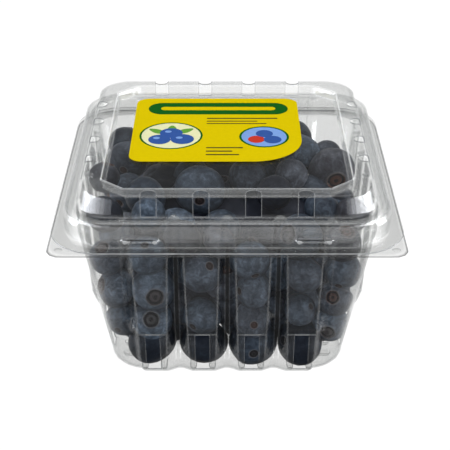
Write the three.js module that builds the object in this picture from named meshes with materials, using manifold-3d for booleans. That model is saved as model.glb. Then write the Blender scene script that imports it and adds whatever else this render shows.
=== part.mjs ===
// Clear one-pint clamshell punnet, closed, filled with blueberries.
// Millimetres, +Z up, +Y towards the hinge, origin on the table under the middle of the pack,
// 3.3 mm below the datum that the levels are measured from.
// Pieces: the fluted tray, the domed lid hinged on the tray's back flange, the label
// stuck in the lid's recessed panel, and the heap of berries.

import * as THREE from 'three';
import { mergeVertices } from 'three/addons/utils/BufferGeometryUtils.js';
import Module from 'manifold-3d';

const wasm = await Module();
wasm.setup();

// ---------------------------------------------------------------- dimensions
const WALL = 0.6;                 // formed sheet
const FLANGE = 62.5;              // half width and half depth of both flanges
const FLANGE_Z = 59.4;            // underside of the tray's flange
const FLANGE_T = 0.5;
const EAR_R = 4.5;                // front corners of the tray's flange
const LID_CORNER_R = 17.6;        // corners of the lid's flange, and back corners of the tray's
const HINGE_GAP = 0.3;            // between the two flanges

// tray
const FOOT = 3.3;                 // the levels below are measured from 3.3 mm above the table
const BASE_Z = -1.2;              // underside of the base, standing on the rib feet
const BASE_EDGE = [[-1.2, 3.5], [0.0, 1.0]];   // rounded foot: level, and how far in from the wall
const BODY_AT_0 = 43.6;           // half size of the tapered body at z = 0
const BODY_TAPER = 0.165;         // and its growth per millimetre of height
const BODY_STRAIGHT_Z = 59.4;     // above this the wall is upright
const CORNER_R = 12;
const BEAD_TOP = 69.0;            // top of the tray's inner bead
const BEAD_TOP_HALF = 56.1;
const BEAD_BOTTOM_HALF = 56.7;
const FLUTE_PITCH = 18.4;
const FLUTE_FACE = 4.7;           // half width of a flute's flat face at level 0
const FLUTE_FACE_TAPER = 0.03;
const FLUTE_AT_0 = 49.0;          // half size over the flutes, upper part
const FLUTE_TAPER = 0.06;
const FLUTE_END_Z = 17.2;         // ledge under the upper flutes
const FLUTE_FULL_Z = 24.0;        // where they reach their full size above it
const FLUTE_LOW_PROUD = [1.8, 0.15];   // lower flutes stand this far out of the body, front and back, and at the sides
const GROOVE_DEPTH = 3.5;
const GROOVE_HALF = 0.9;          // half width of a groove's bottom
const GROOVE_END_Z = 8.5;
const SLOT_W = 5.3;               // slot vents at the foot of each flute
const SLOT_Z = [0.8, 16.3];
const RIB_OFF = 3.6;              // two rib feet under each flute
const RIB_W = 2.4;
const RIB_L = 8.0;

// lid
const LID_Z = FLANGE_Z + FLANGE_T + HINGE_GAP;   // underside of the lid's flange
const SKIRT_HALF = 57.9;
const SKIRT_R = 16;
const LEDGE_Z = 69.9;             // top of the ledge round the dome
const DOME_LOW_HALF = 53.7;
const DOME_TOP_HALF = 51.9;
const DOME_R = 13;
const DOME_Z = 77.7;
const LID_T = 0.5;
const PANEL = { halfX: 44.4, halfY: 46.3, chamferX: 8.3, chamferY: 7.0, depth: 4.0, draft: 0.8 };
const VENT_W = 5.3;
const VENT_PITCH = 18.1;
const VENT_REACH = 47.6;          // how far each vent's round end reaches in over the rim
const SIDE_VENT_PITCH = 16.4;
const SIDE_VENT_MID = 2.3;
const SNAP = { x: [23.5, 36.5], z: 63.0, r: 1.3, proud: 0.8 };

// label
const LABEL = { gap: 0.3, t: 0.3, left: -36.5, right: 28.5, front: -18.0, back: 40.5, r: 5, bigR: 19 };

// heap of berries
const BERRY_R = 7.4;
const HEAP_CLEAR = 0.9;           // from the tray's inside
const HEAP_CREST = 72.6;
const HEAD_HALF = { x: 44.4, y: 46.9 };   // the heap where it stands above the tray's wall

// ---------------------------------------------------------------- helpers
function rng(seed) {
  let s = seed >>> 0;
  return () => { s = (s * 1664525 + 1013904223) >>> 0; return s / 4294967296; };
}

// A square outline with a radius for each corner: front left, front right, back right, back left.
function roundedOutline(hx, hy, radii, steps = 4) {
  const pts = [];
  const corners = [[1, -1, radii[1], -90], [1, 1, radii[2], 0], [-1, 1, radii[3], 90], [-1, -1, radii[0], 180]];
  for (const [sx, sy, r, a0] of corners) {
    const cx = sx * (hx - r), cy = sy * (hy - r);
    for (let i = 0; i <= steps; i++) {
      const a = THREE.MathUtils.degToRad(a0 + 90 * i / steps);
      pts.push([cx + r * Math.cos(a), cy + r * Math.sin(a)]);
    }
  }
  return pts;
}
const square = (h, r, steps) => roundedOutline(h, h, [r, r, r, r], steps);

function octagon(hx, hy, cx, cy) {
  return [[hx - cx, -hy], [hx, -hy + cy], [hx, hy - cy], [hx - cx, hy],
    [-hx + cx, hy], [-hx, hy - cy], [-hx, -hy + cy], [-hx + cx, -hy]];
}

// Parallel offset of a closed outline, inwards for a positive distance.
function inset(pts, d) {
  const n = pts.length, out = [];
  for (let i = 0; i < n; i++) {
    const p = pts[(i + n - 1) % n], q = pts[i], r = pts[(i + 1) % n];
    const e1 = [q[0] - p[0], q[1] - p[1]], e2 = [r[0] - q[0], r[1] - q[1]];
    const l1 = Math.hypot(...e1), l2 = Math.hypot(...e2);
    const n1 = [-e1[1] / l1, e1[0] / l1], n2 = [-e2[1] / l2, e2[0] / l2];
    const k = d / (1 + n1[0] * n2[0] + n1[1] * n2[1]);
    out.push([q[0] + k * (n1[0] + n2[0]), q[1] + k * (n1[1] + n2[1])]);
  }
  return out;
}

function ring(pts, z) {
  const a = pts.map(([x, y]) => { const t = Math.atan2(y, x); return t < 0 ? t + 2 * Math.PI : t; });
  let s = 0;
  for (let i = 1; i < a.length; i++) if (a[i] < a[s]) s = i;
  const p = [], ang = [];
  for (let i = 0; i < pts.length; i++) {
    const j = (s + i) % pts.length;
    const zz = Array.isArray(z) ? z[j] : z;
    p.push([pts[j][0], pts[j][1], zz]);
    ang.push(a[j]);
  }
  return { p, ang };
}

// Closed body from a path of rings that starts and ends on the Z axis. The path runs outwards
// along the underside first, so its faces point out.
function skin(zStart, rings, zEnd) {
  const pos = [], idx = [];
  const add = (v) => { pos.push(v[0], v[1], v[2]); return pos.length / 3 - 1; };
  const first = add([0, 0, zStart]);
  const ids = rings.map((r) => r.p.map(add));
  const last = add([0, 0, zEnd]);
  const fan = (c, loop, up) => {
    for (let i = 0; i < loop.length; i++) {
      const a = loop[i], b = loop[(i + 1) % loop.length];
      if (up) idx.push(c, a, b); else idx.push(c, b, a);
    }
  };
  fan(first, ids[0], false);
  for (let k = 0; k + 1 < rings.length; k++) {
    const A = ids[k], B = ids[k + 1], na = A.length, nb = B.length;
    if (na === nb) {
      for (let i = 0; i < na; i++) {
        const j = (i + 1) % na;
        idx.push(A[i], A[j], B[j], A[i], B[j], B[i]);
      }
      continue;
    }
    const ta = rings[k].ang, tb = rings[k + 1].ang;
    let i = 0, j = 0;
    while (i < na || j < nb) {
      const nextA = i < na ? (i + 1 < na ? ta[i + 1] : ta[0] + 2 * Math.PI) : Infinity;
      const nextB = j < nb ? (j + 1 < nb ? tb[j + 1] : tb[0] + 2 * Math.PI) : Infinity;
      if (nextA <= nextB) { idx.push(A[i % na], A[(i + 1) % na], B[j % nb]); i++; }
      else { idx.push(A[i % na], B[(j + 1) % nb], B[j % nb]); j++; }
    }
  }
  fan(last, ids[ids.length - 1], true);
  const g = new THREE.BufferGeometry();
  g.setAttribute('position', new THREE.Float32BufferAttribute(pos, 3));
  g.setIndex(idx);
  return g;
}

function toSolid(geometry) {
  let g = geometry.clone();
  g.deleteAttribute('normal');
  g.deleteAttribute('uv');
  g = mergeVertices(g, 1e-4);
  return new wasm.Manifold(new wasm.Mesh({
    numProp: 3,
    vertProperties: new Float32Array(g.attributes.position.array),
    triVerts: new Uint32Array(g.index.array),
  }));
}

function fromSolid(solid) {
  const m = solid.getMesh();
  const g = new THREE.BufferGeometry();
  g.setAttribute('position', new THREE.BufferAttribute(new Float32Array(m.vertProperties), 3));
  g.setIndex(new THREE.BufferAttribute(new Uint32Array(m.triVerts), 1));
  g.computeVertexNormals();
  return g;
}

// A block between two corners.
function block(lo, hi) {
  const g = new THREE.BoxGeometry(hi[0] - lo[0], hi[1] - lo[1], hi[2] - lo[2]);
  g.translate((lo[0] + hi[0]) / 2, (lo[1] + hi[1]) / 2, (lo[2] + hi[2]) / 2);
  return g;
}

// The four sides: front, right, back, left. Their own frame has the side's length along X and
// its outward direction along -Y.
const SIDES = [0, 90, 180, 270];
const turned = (g, deg) => g.clone().rotateZ(THREE.MathUtils.degToRad(deg));

// ---------------------------------------------------------------- tray
const bodyHalf = (z) => BODY_AT_0 + BODY_TAPER * Math.min(z, BODY_STRAIGHT_Z);
const upperFlute = (z) => FLUTE_AT_0 + FLUTE_TAPER * z;
const faceHalf = (z) => FLUTE_FACE + FLUTE_FACE_TAPER * Math.max(z, 0);
const ledges = FLUTE_LOW_PROUD.map((proud) => new THREE.SplineCurve([
  new THREE.Vector2(FLUTE_END_Z, bodyHalf(FLUTE_END_Z) + proud),
  new THREE.Vector2(20.2, 49.3),
  new THREE.Vector2(FLUTE_FULL_Z, upperFlute(FLUTE_FULL_Z)),
]));
function fluteHalf(z, side) {
  if (z <= FLUTE_END_Z) return bodyHalf(z) + FLUTE_LOW_PROUD[side % 2];
  if (z >= FLUTE_FULL_Z) return upperFlute(z);
  return ledges[side % 2].getPoint((z - FLUTE_END_Z) / (FLUTE_FULL_Z - FLUTE_END_Z)).y;
}
function grooveHalf(z) {
  if (z <= GROOVE_END_Z) {
    const k = Math.max(0, (z - 3.6) / (GROOVE_END_Z - 3.6));
    return THREE.MathUtils.lerp(bodyHalf(z) - 0.2, bodyHalf(GROOVE_END_Z) - GROOVE_DEPTH + 1.2, k);
  }
  const k = Math.min(1, (z - GROOVE_END_Z) / 16);
  return THREE.MathUtils.lerp(bodyHalf(GROOVE_END_Z) - GROOVE_DEPTH + 1.2, upperFlute(25) - GROOVE_DEPTH, k)
    + (z > 25 ? FLUTE_TAPER * (z - 25) : 0);
}
// Outline of the tray's outer face at one height: four flutes to a side, grooves between them,
// a shallow groove before each plain rounded corner.
function trayOutline(z) {
  const hb = bodyHalf(z), hg = grooveHalf(z), face = faceHalf(z);
  const c = hb - CORNER_R;
  const edges = [FLUTE_PITCH / 2, FLUTE_PITCH * 1.5];
  const outer = edges[1] + face;
  const onBody = (t) => (t <= c ? hb : c + Math.sqrt(CORNER_R ** 2 - (t - c) ** 2));
  const a0 = Math.asin((Math.max(c, outer + 6) - c) / CORNER_R);
  const cut = THREE.MathUtils.clamp((z - 18) / 5.4, 0, 1) * 2.4
    - THREE.MathUtils.clamp((z - 25.4) / 34, 0, 1) * 0.9;
  const pts = [];
  for (let q = 0; q < 4; q++) {
    const hf = fluteHalf(z, q);
    const half = [
      [GROOVE_HALF, hg],
      [edges[0] - face, hf],
      [edges[0] + face, hf],
      [FLUTE_PITCH - GROOVE_HALF, hg],
      [FLUTE_PITCH + GROOVE_HALF, hg],
      [edges[1] - face, hf],
      [outer, hf],
      [outer + 1.5, onBody(outer + 1.5) - cut],
      [outer + 2.5, onBody(outer + 2.5) - cut],
      [outer + 4, onBody(outer + 4)],
    ];
    const side = [...half.slice().reverse().map(([s, n]) => [-s, n]), ...half];
    const rot = THREE.MathUtils.degToRad(90 * q);
    const co = Math.cos(rot), si = Math.sin(rot);
    const put = (x, y) => pts.push([x * co - y * si, x * si + y * co]);
    for (const [s, n] of side) put(s, -n);
    for (let i = 0; i <= 4; i++) {
      const a = THREE.MathUtils.lerp(a0, Math.PI / 2 - a0, i / 4);
      put(c + CORNER_R * Math.sin(a), -(c + CORNER_R * Math.cos(a)));
    }
  }
  return pts;
}

function makeTray() {
  const levels = [3.6, GROOVE_END_Z, FLUTE_END_Z, 18.6, 20.4, FLUTE_FULL_Z, BODY_STRAIGHT_Z];
  const earR = [EAR_R, EAR_R, LID_CORNER_R, LID_CORNER_R];
  const inner = (z, d = WALL) => inset(trayOutline(z), d);
  const r = [];
  const foot = (z, d) => ring(trayOutline(3.6).map(([x, y]) => [x * (1 - d / 45), y * (1 - d / 45)]), z);
  // outside, going up
  for (const [z, d] of BASE_EDGE) r.push(foot(z, d));
  for (const z of levels) r.push(ring(trayOutline(z), z));
  r.push(ring(trayOutline(BEAD_TOP), BEAD_TOP - WALL));
  // under the bead and down its inside, then out under the flange
  r.push(ring(square(BEAD_TOP_HALF - WALL, 15, 4), BEAD_TOP - WALL));
  r.push(ring(square(BEAD_BOTTOM_HALF - WALL, 15.4, 4), FLANGE_Z));
  r.push(ring(roundedOutline(FLANGE, FLANGE, earR, 4), FLANGE_Z));
  r.push(ring(roundedOutline(FLANGE, FLANGE, earR, 4), FLANGE_Z + FLANGE_T));
  // in along the flange's top, up and over the bead
  r.push(ring(square(BEAD_BOTTOM_HALF, 16, 4), FLANGE_Z + FLANGE_T));
  r.push(ring(square(BEAD_TOP_HALF, 15.6, 4), BEAD_TOP));
  r.push(ring(inner(BEAD_TOP), BEAD_TOP));
  // down the inside
  for (const z of levels.slice().reverse()) r.push(ring(inner(z), z));
  for (const [z, d] of BASE_EDGE.slice().reverse()) r.push(foot(z + WALL * 0.8 * d / 3 + 0.04, d + WALL));
  let solid = toSolid(skin(BASE_Z, r, BASE_Z + WALL));

  for (const deg of SIDES) {
    for (const k of [-1.5, -0.5, 0.5, 1.5]) {
      const s = k * FLUTE_PITCH;
      solid = solid.subtract(toSolid(turned(
        block([s - SLOT_W / 2, -51, SLOT_Z[0]], [s + SLOT_W / 2, -40.5, SLOT_Z[1]]), deg)));
      for (const off of [-RIB_OFF, RIB_OFF]) {
        const n0 = fluteHalf(3.6, deg / 90) - 4.3;
        const section = new THREE.Shape([
          new THREE.Vector2(s + off - RIB_W / 2 + 0.5, -FOOT), new THREE.Vector2(s + off + RIB_W / 2 - 0.5, -FOOT),
          new THREE.Vector2(s + off + RIB_W / 2, BASE_Z + 0.3), new THREE.Vector2(s + off - RIB_W / 2, BASE_Z + 0.3)]);
        const g = new THREE.ExtrudeGeometry(section, { depth: RIB_L, bevelEnabled: false });
        g.rotateX(Math.PI / 2);            // the section stands up, the length runs along -Y
        g.translate(0, -(n0 - RIB_L), 0);
        solid = solid.add(toSolid(turned(g, deg)));
      }
    }
  }
  return fromSolid(solid);
}

// ---------------------------------------------------------------- lid
// The one formed sheet in four sides, which meet along the diagonals through its corners.
function traySides(sheet) {
  const whole = toSolid(sheet), sides = {}, c = Math.SQRT1_2;
  ['front', 'right', 'back', 'left'].forEach((name, i) => {
    const a = i * Math.PI / 2 - Math.PI / 2;      // the way this side faces
    const out = [Math.round(Math.cos(a)), Math.round(Math.sin(a))], along = [-out[1], out[0]];
    let part = whole;
    for (const s of [-1, 1]) {
      part = part.trimByPlane([c * (out[0] + s * along[0]), c * (out[1] + s * along[1]), 0], 0);
    }
    sides[name] = fromSolid(part);
  });
  return sides;
}

function makeLid() {
  const P = PANEL;
  const oct = (d) => octagon(P.halfX + d, P.halfY + d, P.chamferX + 0.4 * d, P.chamferY + 0.4 * d);
  const panelZ = DOME_Z - P.depth;
  const flange = square(FLANGE, LID_CORNER_R, 5);
  const r = [
    ring(oct(-P.draft + LID_T), panelZ - LID_T),
    ring(oct(LID_T), DOME_Z - LID_T),
    ring(square(DOME_TOP_HALF - 0.9 - LID_T, DOME_R - 2, 5), DOME_Z - LID_T),
    ring(square(DOME_LOW_HALF - LID_T, DOME_R, 5), LEDGE_Z - LID_T),
    ring(square(SKIRT_HALF - LID_T, SKIRT_R - LID_T, 5), LEDGE_Z - LID_T),
    ring(square(SKIRT_HALF - LID_T, SKIRT_R - LID_T, 5), LID_Z),
    ring(flange, LID_Z),
    ring(flange, LID_Z + FLANGE_T),
    ring(square(SKIRT_HALF, SKIRT_R, 5), LID_Z + FLANGE_T),
    ring(square(SKIRT_HALF, SKIRT_R, 5), LEDGE_Z - 0.5),
    ring(square(SKIRT_HALF - 0.5, SKIRT_R - 0.5, 5), LEDGE_Z),
    ring(square(DOME_LOW_HALF, DOME_R, 5), LEDGE_Z),
    ring(square(DOME_TOP_HALF, DOME_R - 1, 5), DOME_Z - 0.9),
    ring(square(DOME_TOP_HALF - 0.9, DOME_R - 2, 5), DOME_Z),
    ring(oct(0), DOME_Z),
    ring(oct(-P.draft), panelZ),
  ];
  let solid = toSolid(skin(panelZ - LID_T, r, panelZ));

  // snap dimples standing out of the front of the skirt
  for (const sgn of [-1, 1]) {
    const x0 = sgn * SNAP.x[0], x1 = sgn * SNAP.x[1];
    const g = new THREE.CapsuleGeometry(SNAP.r, Math.abs(x1 - x0) - 2 * SNAP.r, 2, 8);
    g.rotateZ(Math.PI / 2);
    g.scale(1, SNAP.proud / SNAP.r, 1);
    g.translate((x0 + x1) / 2, -SKIRT_HALF + 0.05, SNAP.z);
    const keep = toSolid(block([Math.min(x0, x1) - 1, -SKIRT_HALF - 2, SNAP.z - 3], [Math.max(x0, x1) + 1, -SKIRT_HALF + 0.3, SNAP.z + 3]));
    solid = solid.add(toSolid(g).intersect(keep));
  }

  // vents: upright slots in the dome's wall whose round ends run in over the rim
  const slot = new THREE.Shape();
  const w = VENT_W / 2, yEnd = -(VENT_REACH + w * 0.8);
  slot.moveTo(-w, -57);
  slot.lineTo(w, -57);
  slot.lineTo(w, yEnd);
  slot.absellipse(0, yEnd, w, w * 0.8, 0, Math.PI, false, 0);
  slot.lineTo(-w, -57);
  for (const [deg, pitch, mid] of [[0, VENT_PITCH, 0], [90, SIDE_VENT_PITCH, SIDE_VENT_MID],
    [180, VENT_PITCH, 0], [270, SIDE_VENT_PITCH, -SIDE_VENT_MID]]) {
    for (const k of [-1.5, -0.5, 0.5, 1.5]) {
      const g = new THREE.ExtrudeGeometry(slot, { depth: 12, bevelEnabled: false, curveSegments: 3 });
      g.translate(k * pitch + mid, 0, LEDGE_Z + 0.3);
      solid = solid.subtract(toSolid(turned(g, deg)));
    }
  }
  return fromSolid(solid);
}

// ---------------------------------------------------------------- label
function makeLabel() {
  const L = LABEL;
  const s = new THREE.Shape();
  s.moveTo(L.left + L.r, L.front);
  s.lineTo(L.right - L.bigR, L.front);
  s.absarc(L.right - L.bigR, L.front + L.bigR, L.bigR, -Math.PI / 2, 0, false);
  s.lineTo(L.right, L.back - L.r);
  s.absarc(L.right - L.r, L.back - L.r, L.r, 0, Math.PI / 2, false);
  s.lineTo(L.left + L.r, L.back);
  s.absarc(L.left + L.r, L.back - L.r, L.r, Math.PI / 2, Math.PI, false);
  s.lineTo(L.left, L.front + L.r);
  s.absarc(L.left + L.r, L.front + L.r, L.r, Math.PI, 1.5 * Math.PI, false);
  const g = new THREE.ExtrudeGeometry(s, { depth: L.t, bevelEnabled: false, curveSegments: 6 });
  g.translate(0, 0, DOME_Z - PANEL.depth + L.gap);
  return g;
}

// ---------------------------------------------------------------- berries
// One solid out to the heap's uneven outline. Below the bead it follows the inside of the
// tray, flutes and all, and above it crowns into the lid as the tops of single berries.
function makeHeap() {
  const rand = rng(31);
  const tops = [];
  const step = BERRY_R * 1.86, rows = 4;
  for (let j = -rows; j <= rows; j++) {
    for (let i = -rows; i <= rows; i++) {
      const x = (i + (j & 1 ? 0.5 : 0)) * step + (rand() - 0.5) * 3;
      const y = j * step * 0.87 + (rand() - 0.5) * 3;
      if (Math.max(Math.abs(x), Math.abs(y)) > 47) continue;
      const edge = Math.max(Math.abs(x), Math.abs(y)) > 38 ? 1.2 : 0;
      tops.push([x, y, HEAP_CREST - BERRY_R - edge - 2.6 * rand(), BERRY_R * (0.92 + 0.16 * rand())]);
    }
  }
  const crown = (x, y) => {
    let z = 64.6;
    for (const [bx, by, bz, br] of tops) {
      const d2 = (x - bx) ** 2 + (y - by) ** 2;
      if (d2 < br * br) z = Math.max(z, bz + Math.sqrt(br * br - d2));
    }
    return Math.min(z, HEAP_CREST);
  };
  const levels = [[5.6, 7.8], [8.9, 8.9], [17.4, 17.0], [19.4, 18.2], [24.6, 22.4], [40, 40], [57, 57]];
  const r = [];
  for (const [z, d] of [[0.2, 5.4], [2.6, 2.6]]) {
    r.push(ring(trayOutline(3.6).map(([x, y]) => [x * (1 - d / 45), y * (1 - d / 45)]), z));
  }
  for (const [z, at] of levels) {
    // berries press on the wall at their middles and leave it between them
    const base = trayOutline(at);
    const a = inset(base, WALL + HEAP_CLEAR), b = inset(base, WALL + HEAP_CLEAR + 1.1);
    const most = z > 50 ? 48.0 : 60;      // the last round draws in under the berries' crown
    r.push(ring(a.map((p, i) => {
      const k = rand();
      return [p[0] + (b[i][0] - p[0]) * k, p[1] + (b[i][1] - p[1]) * k]
        .map((c) => THREE.MathUtils.clamp(c, -most, most));
    }), z));
  }
  const n = 50;
  const outline = (f) => {
    const pts = [], p = 6;
    for (let i = 0; i < n; i++) {
      const a = 2 * Math.PI * (i + 0.5) / n, cx = Math.cos(a), cy = Math.sin(a);
      const q = f / ((Math.abs(cx) / HEAD_HALF.x) ** p + (Math.abs(cy) / HEAD_HALF.y) ** p) ** (1 / p);
      pts.push([q * cx, q * cy]);
    }
    return pts;
  };
  r.push(ring(outline(1), 64.0));
  for (const f of [0.985, 0.88, 0.76, 0.64, 0.52, 0.4, 0.27, 0.14]) {
    const pts = outline(f);
    r.push(ring(pts, pts.map(([x, y]) => crown(x, y) - (f > 0.95 ? 1.0 : 0))));
  }
  return fromSolid(toSolid(skin(0.2, r, crown(0, 0))));
}

// ---------------------------------------------------------------- the pack
const clear = new THREE.MeshStandardMaterial({ color: 0xe6e9e8, roughness: 0.08, metalness: 0, transparent: true, opacity: 0.25, side: THREE.DoubleSide });
const fruit = new THREE.MeshStandardMaterial({ color: 0x3b4656, roughness: 0.65, metalness: 0 });
const yellow = new THREE.MeshStandardMaterial({ color: 0xe6cf17, roughness: 0.4, metalness: 0 });

function piece(name, geometry, material) {
  const m = new THREE.Mesh(geometry, material);
  m.name = name;
  return m;
}

const punnet = new THREE.Group();
punnet.name = 'punnet';
punnet.position.z = FOOT;

const trayBody = new THREE.Group();
for (const [side, part] of Object.entries(traySides(makeTray()))) {
  trayBody.add(piece(`tray_${side}`, part, side === 'front' ? clear : clear.clone()));
}
trayBody.add(piece('berries', makeHeap(), fruit));
punnet.add(trayBody);

const lidBody = new THREE.Group();
lidBody.add(piece('lid', makeLid(), clear.clone()));
lidBody.add(piece('label', makeLabel(), yellow));
punnet.add(lidBody);

export default punnet;
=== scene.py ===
"""Looks of the closed clear punnet of blueberries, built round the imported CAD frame.

Millimetres inside the functions, metres in Blender. Levels are measured from the same datum as
the CAD source's, 3.3 mm above the table.
"""

import math

import bpy
import numpy as np
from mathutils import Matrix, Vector


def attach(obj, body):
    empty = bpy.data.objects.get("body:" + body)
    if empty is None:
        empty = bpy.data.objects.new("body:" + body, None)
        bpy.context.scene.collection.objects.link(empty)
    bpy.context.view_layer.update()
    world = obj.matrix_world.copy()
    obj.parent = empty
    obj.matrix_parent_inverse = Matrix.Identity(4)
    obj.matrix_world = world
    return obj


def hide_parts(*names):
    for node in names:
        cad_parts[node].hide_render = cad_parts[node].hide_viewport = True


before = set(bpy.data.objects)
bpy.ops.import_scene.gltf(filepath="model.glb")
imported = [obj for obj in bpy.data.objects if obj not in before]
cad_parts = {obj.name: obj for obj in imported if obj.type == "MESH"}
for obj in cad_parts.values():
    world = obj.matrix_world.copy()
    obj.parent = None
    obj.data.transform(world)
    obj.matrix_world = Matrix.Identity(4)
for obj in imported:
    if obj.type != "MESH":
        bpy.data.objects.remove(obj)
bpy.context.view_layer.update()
scene = bpy.context.scene

MM = 0.001
FOOT = 3.3

# ------------------------------------------------------------------ pack dimensions, as in CAD
PITCH = 18.4
FLUTES = (-27.6, -9.2, 9.2, 27.6)
PROUD = (1.8, 0.15, 1.8, 0.15)          # front, right, back, left
SLOT_HALF = 2.65
SLOT_Z = (0.8, 17.1)
CORNER_R = 12.0
TRAY_S1 = 38.6                          # where a tray side's columns end and its corner's begin
LID_S1 = 38.4
FLANGE = 62.5
TRAY_T = 0.42
LID_T = 0.40
VENTS_FRONT = (-27.15, -9.05, 9.05, 27.15)
VENTS_SIDE_Y = (26.9, 10.5, -5.9, -22.3)
HALF_T = 0.22
SKIN = ((0.0030, 0.0045, 0.0095, 1), (0.0070, 0.0050, 0.0080, 1))
DUST = ((0.2150, 0.2900, 0.3950, 1), (0.2650, 0.2900, 0.3500, 1))


def smooth01(t):
    t = np.clip(t, 0.0, 1.0)
    return t * t * (3 - 2 * t)


def lerp(a, b, k):
    return a + (b - a) * k


# ------------------------------------------------------------------ the tray's wall
def body_half(z):
    return 43.6 + 0.165 * np.minimum(z, 59.4)


def upper_flute(z):
    return 49.0 + 0.06 * z


def flute_half(z, q):
    low = body_half(z) + PROUD[q]
    end, bend, full = (17.7, 20.4, 24.0) if q % 2 == 0 else (20.0, 23.4, 27.5)
    mid = np.interp(z, [end, bend, full], [body_half(end) + PROUD[q], 49.3, upper_flute(full)])
    return np.where(z <= end, low, np.where(z >= full, upper_flute(z), mid))


def groove_half(z):
    k = np.clip((z - 3.6) / 4.9, 0, 1)
    low = lerp(body_half(z) - 0.2, body_half(8.5) - 2.3, k)
    k2 = np.clip((z - 8.5) / 16, 0, 1)
    high = lerp(body_half(8.5) - 2.3, upper_flute(25.0) - 3.5, k2) + 0.06 * np.maximum(z - 25, 0)
    return np.where(z <= 8.5, low, high)


def face_half(z):
    return 4.7 + 0.03 * np.maximum(z, 0) - 0.15 * np.maximum(6.0 - z, 0)


def wall_raw(s, z, q):
    """How far the tray's wall stands out at s along side q and height z."""
    a = np.abs(s)
    hb, hf, hg, face = body_half(z), flute_half(z, q), groove_half(z), face_half(z)
    c = hb - CORNER_R
    ds = np.abs(a - np.where(a < PITCH, 9.2, 27.6))
    k = np.clip((ds - face) / (8.3 - face), 0, 1)
    n_in = lerp(hf, hg, k)
    on_body = c + np.sqrt(np.maximum(CORNER_R ** 2 - np.maximum(a - c, 0) ** 2, 0))
    outer = 27.6 + face
    cut = np.clip((z - 18) / 5.4, 0, 1) * 2.4 - np.clip((z - 25.4) / 34, 0, 1) * 0.9
    t = a - outer
    n_out = np.where(t < 1.5, lerp(hf, on_body - cut, np.clip(t / 1.5, 0, 1)),
                     on_body - cut * (1 - np.clip((t - 2.5) / 1.5, 0, 1)))
    return np.where(a > outer, n_out, n_in)


def wall(s, z, q):
    """The same, with its creases rounded."""
    s, z = np.broadcast_arrays(np.asarray(s, float), np.asarray(z, float))
    total = 0
    for dz, wz in ((-0.45, .25), (0, .5), (0.45, .25)):
        for ds in (-0.27, -0.09, 0.09, 0.27):
            total = total + wz * 0.25 * wall_raw(s + ds, np.maximum(z + dz, 3.6), q)
    return total


# ------------------------------------------------------------------ outlines as columns of points
def rotated(xy, q):
    co, si = (1, 0, -1, 0)[q], (0, 1, 0, -1)[q]
    return np.c_[xy[:, 0] * co - xy[:, 1] * si, xy[:, 0] * si + xy[:, 1] * co]


def corner_path(h, r, s1, taus):
    """Points from (s1, -h) round a corner of radius r to (h, -s1), at shares taus of its length."""
    c = h - r
    a0 = 0.0 if s1 <= c else math.asin(min(1.0, (s1 - c) / r))
    straight = max(c - s1, 0.0)
    arc = r * (math.pi / 2 - 2 * a0)
    total = 2 * straight + arc
    out = []
    for t in taus:
        d = t * total
        if d < straight:
            out.append((s1 + d, -h))
        elif d <= straight + arc:
            a = a0 + (d - straight) / max(r, 1e-9)
            out.append((c + r * math.sin(a), -(c + r * math.cos(a))))
        else:
            out.append((h, -(c - (d - straight - arc))))
    return np.array(out)


class Columns:
    """The columns of a sheet that goes all round the pack: four sides and four corners."""

    def __init__(self, sides, s1, corner_n):
        self.sides = [np.array(sorted(x)) for x in sides]
        self.s1, self.taus = s1, np.arange(1, corner_n) / corner_n
        self.moved = None                   # a function of z that gives a side's columns there
        self.count = sum(len(x) + len(self.taus) for x in self.sides)
        self.level = None
        self.start = []
        at = 0
        for x in self.sides:
            self.start.append(at)
            at += len(x) + len(self.taus)

    def marks(self, side_values, corner_value=0.0):
        """One value for each column, from a list for a side's columns."""
        out = []
        for q in range(4):
            out += [np.asarray(side_values[q], float), np.full(len(self.taus), corner_value)]
        return np.concatenate(out)

    def row(self, side_fn, corner_fn, z):
        """side_fn(s, q) gives n; corner_fn(q) gives its corner's points. z is a number or a function of (q, part, s or tau)."""
        pts = []
        for q, s in enumerate(self.sides):
            if self.moved is not None:
                s = self.moved(self.level if self.level is not None else z)
            n = side_fn(s, q) * np.ones(len(s))
            zs = z(q, "side", s) if callable(z) else np.full(len(s), z)
            pts.append(np.c_[rotated(np.c_[s, -n], q), zs])
            c = corner_fn(q)
            zc = z(q, "corner", self.taus) if callable(z) else np.full(len(c), z)
            pts.append(np.c_[rotated(c, q), zc])
        return np.vstack(pts)

    def round_row(self, h, r, z, bump=None):
        """A square outline of half size h; r is a radius, or one for each corner."""
        rs = r if isinstance(r, (tuple, list)) else (r,) * 4

        def side(s, q):
            c0, c1 = h - rs[(q + 3) % 4], h - rs[q]
            n = np.full(len(s), h, float)
            for sgn, c, rr in ((-1, c0, rs[(q + 3) % 4]), (1, c1, rs[q])):
                over = sgn * s - c
                n = np.where(over > 0, c + np.sqrt(np.maximum(rr ** 2 - over ** 2, 0)), n)
            if bump is not None:
                n = n + bump(q, "side", s)
            return n

        def corner(q):
            p = corner_path(h, rs[q], self.s1, self.taus)
            if bump is not None:
                b = bump(q, "corner", self.taus)
                c = h - rs[q]
                d = np.c_[np.maximum(p[:, 0] - c, 0), np.minimum(p[:, 1] + c, 0)]
                d = d / np.maximum(np.linalg.norm(d, axis=1, keepdims=True), 1e-9)
                p = p + d * b[:, None]
            return p

        return self.row(side, corner, z)


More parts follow.
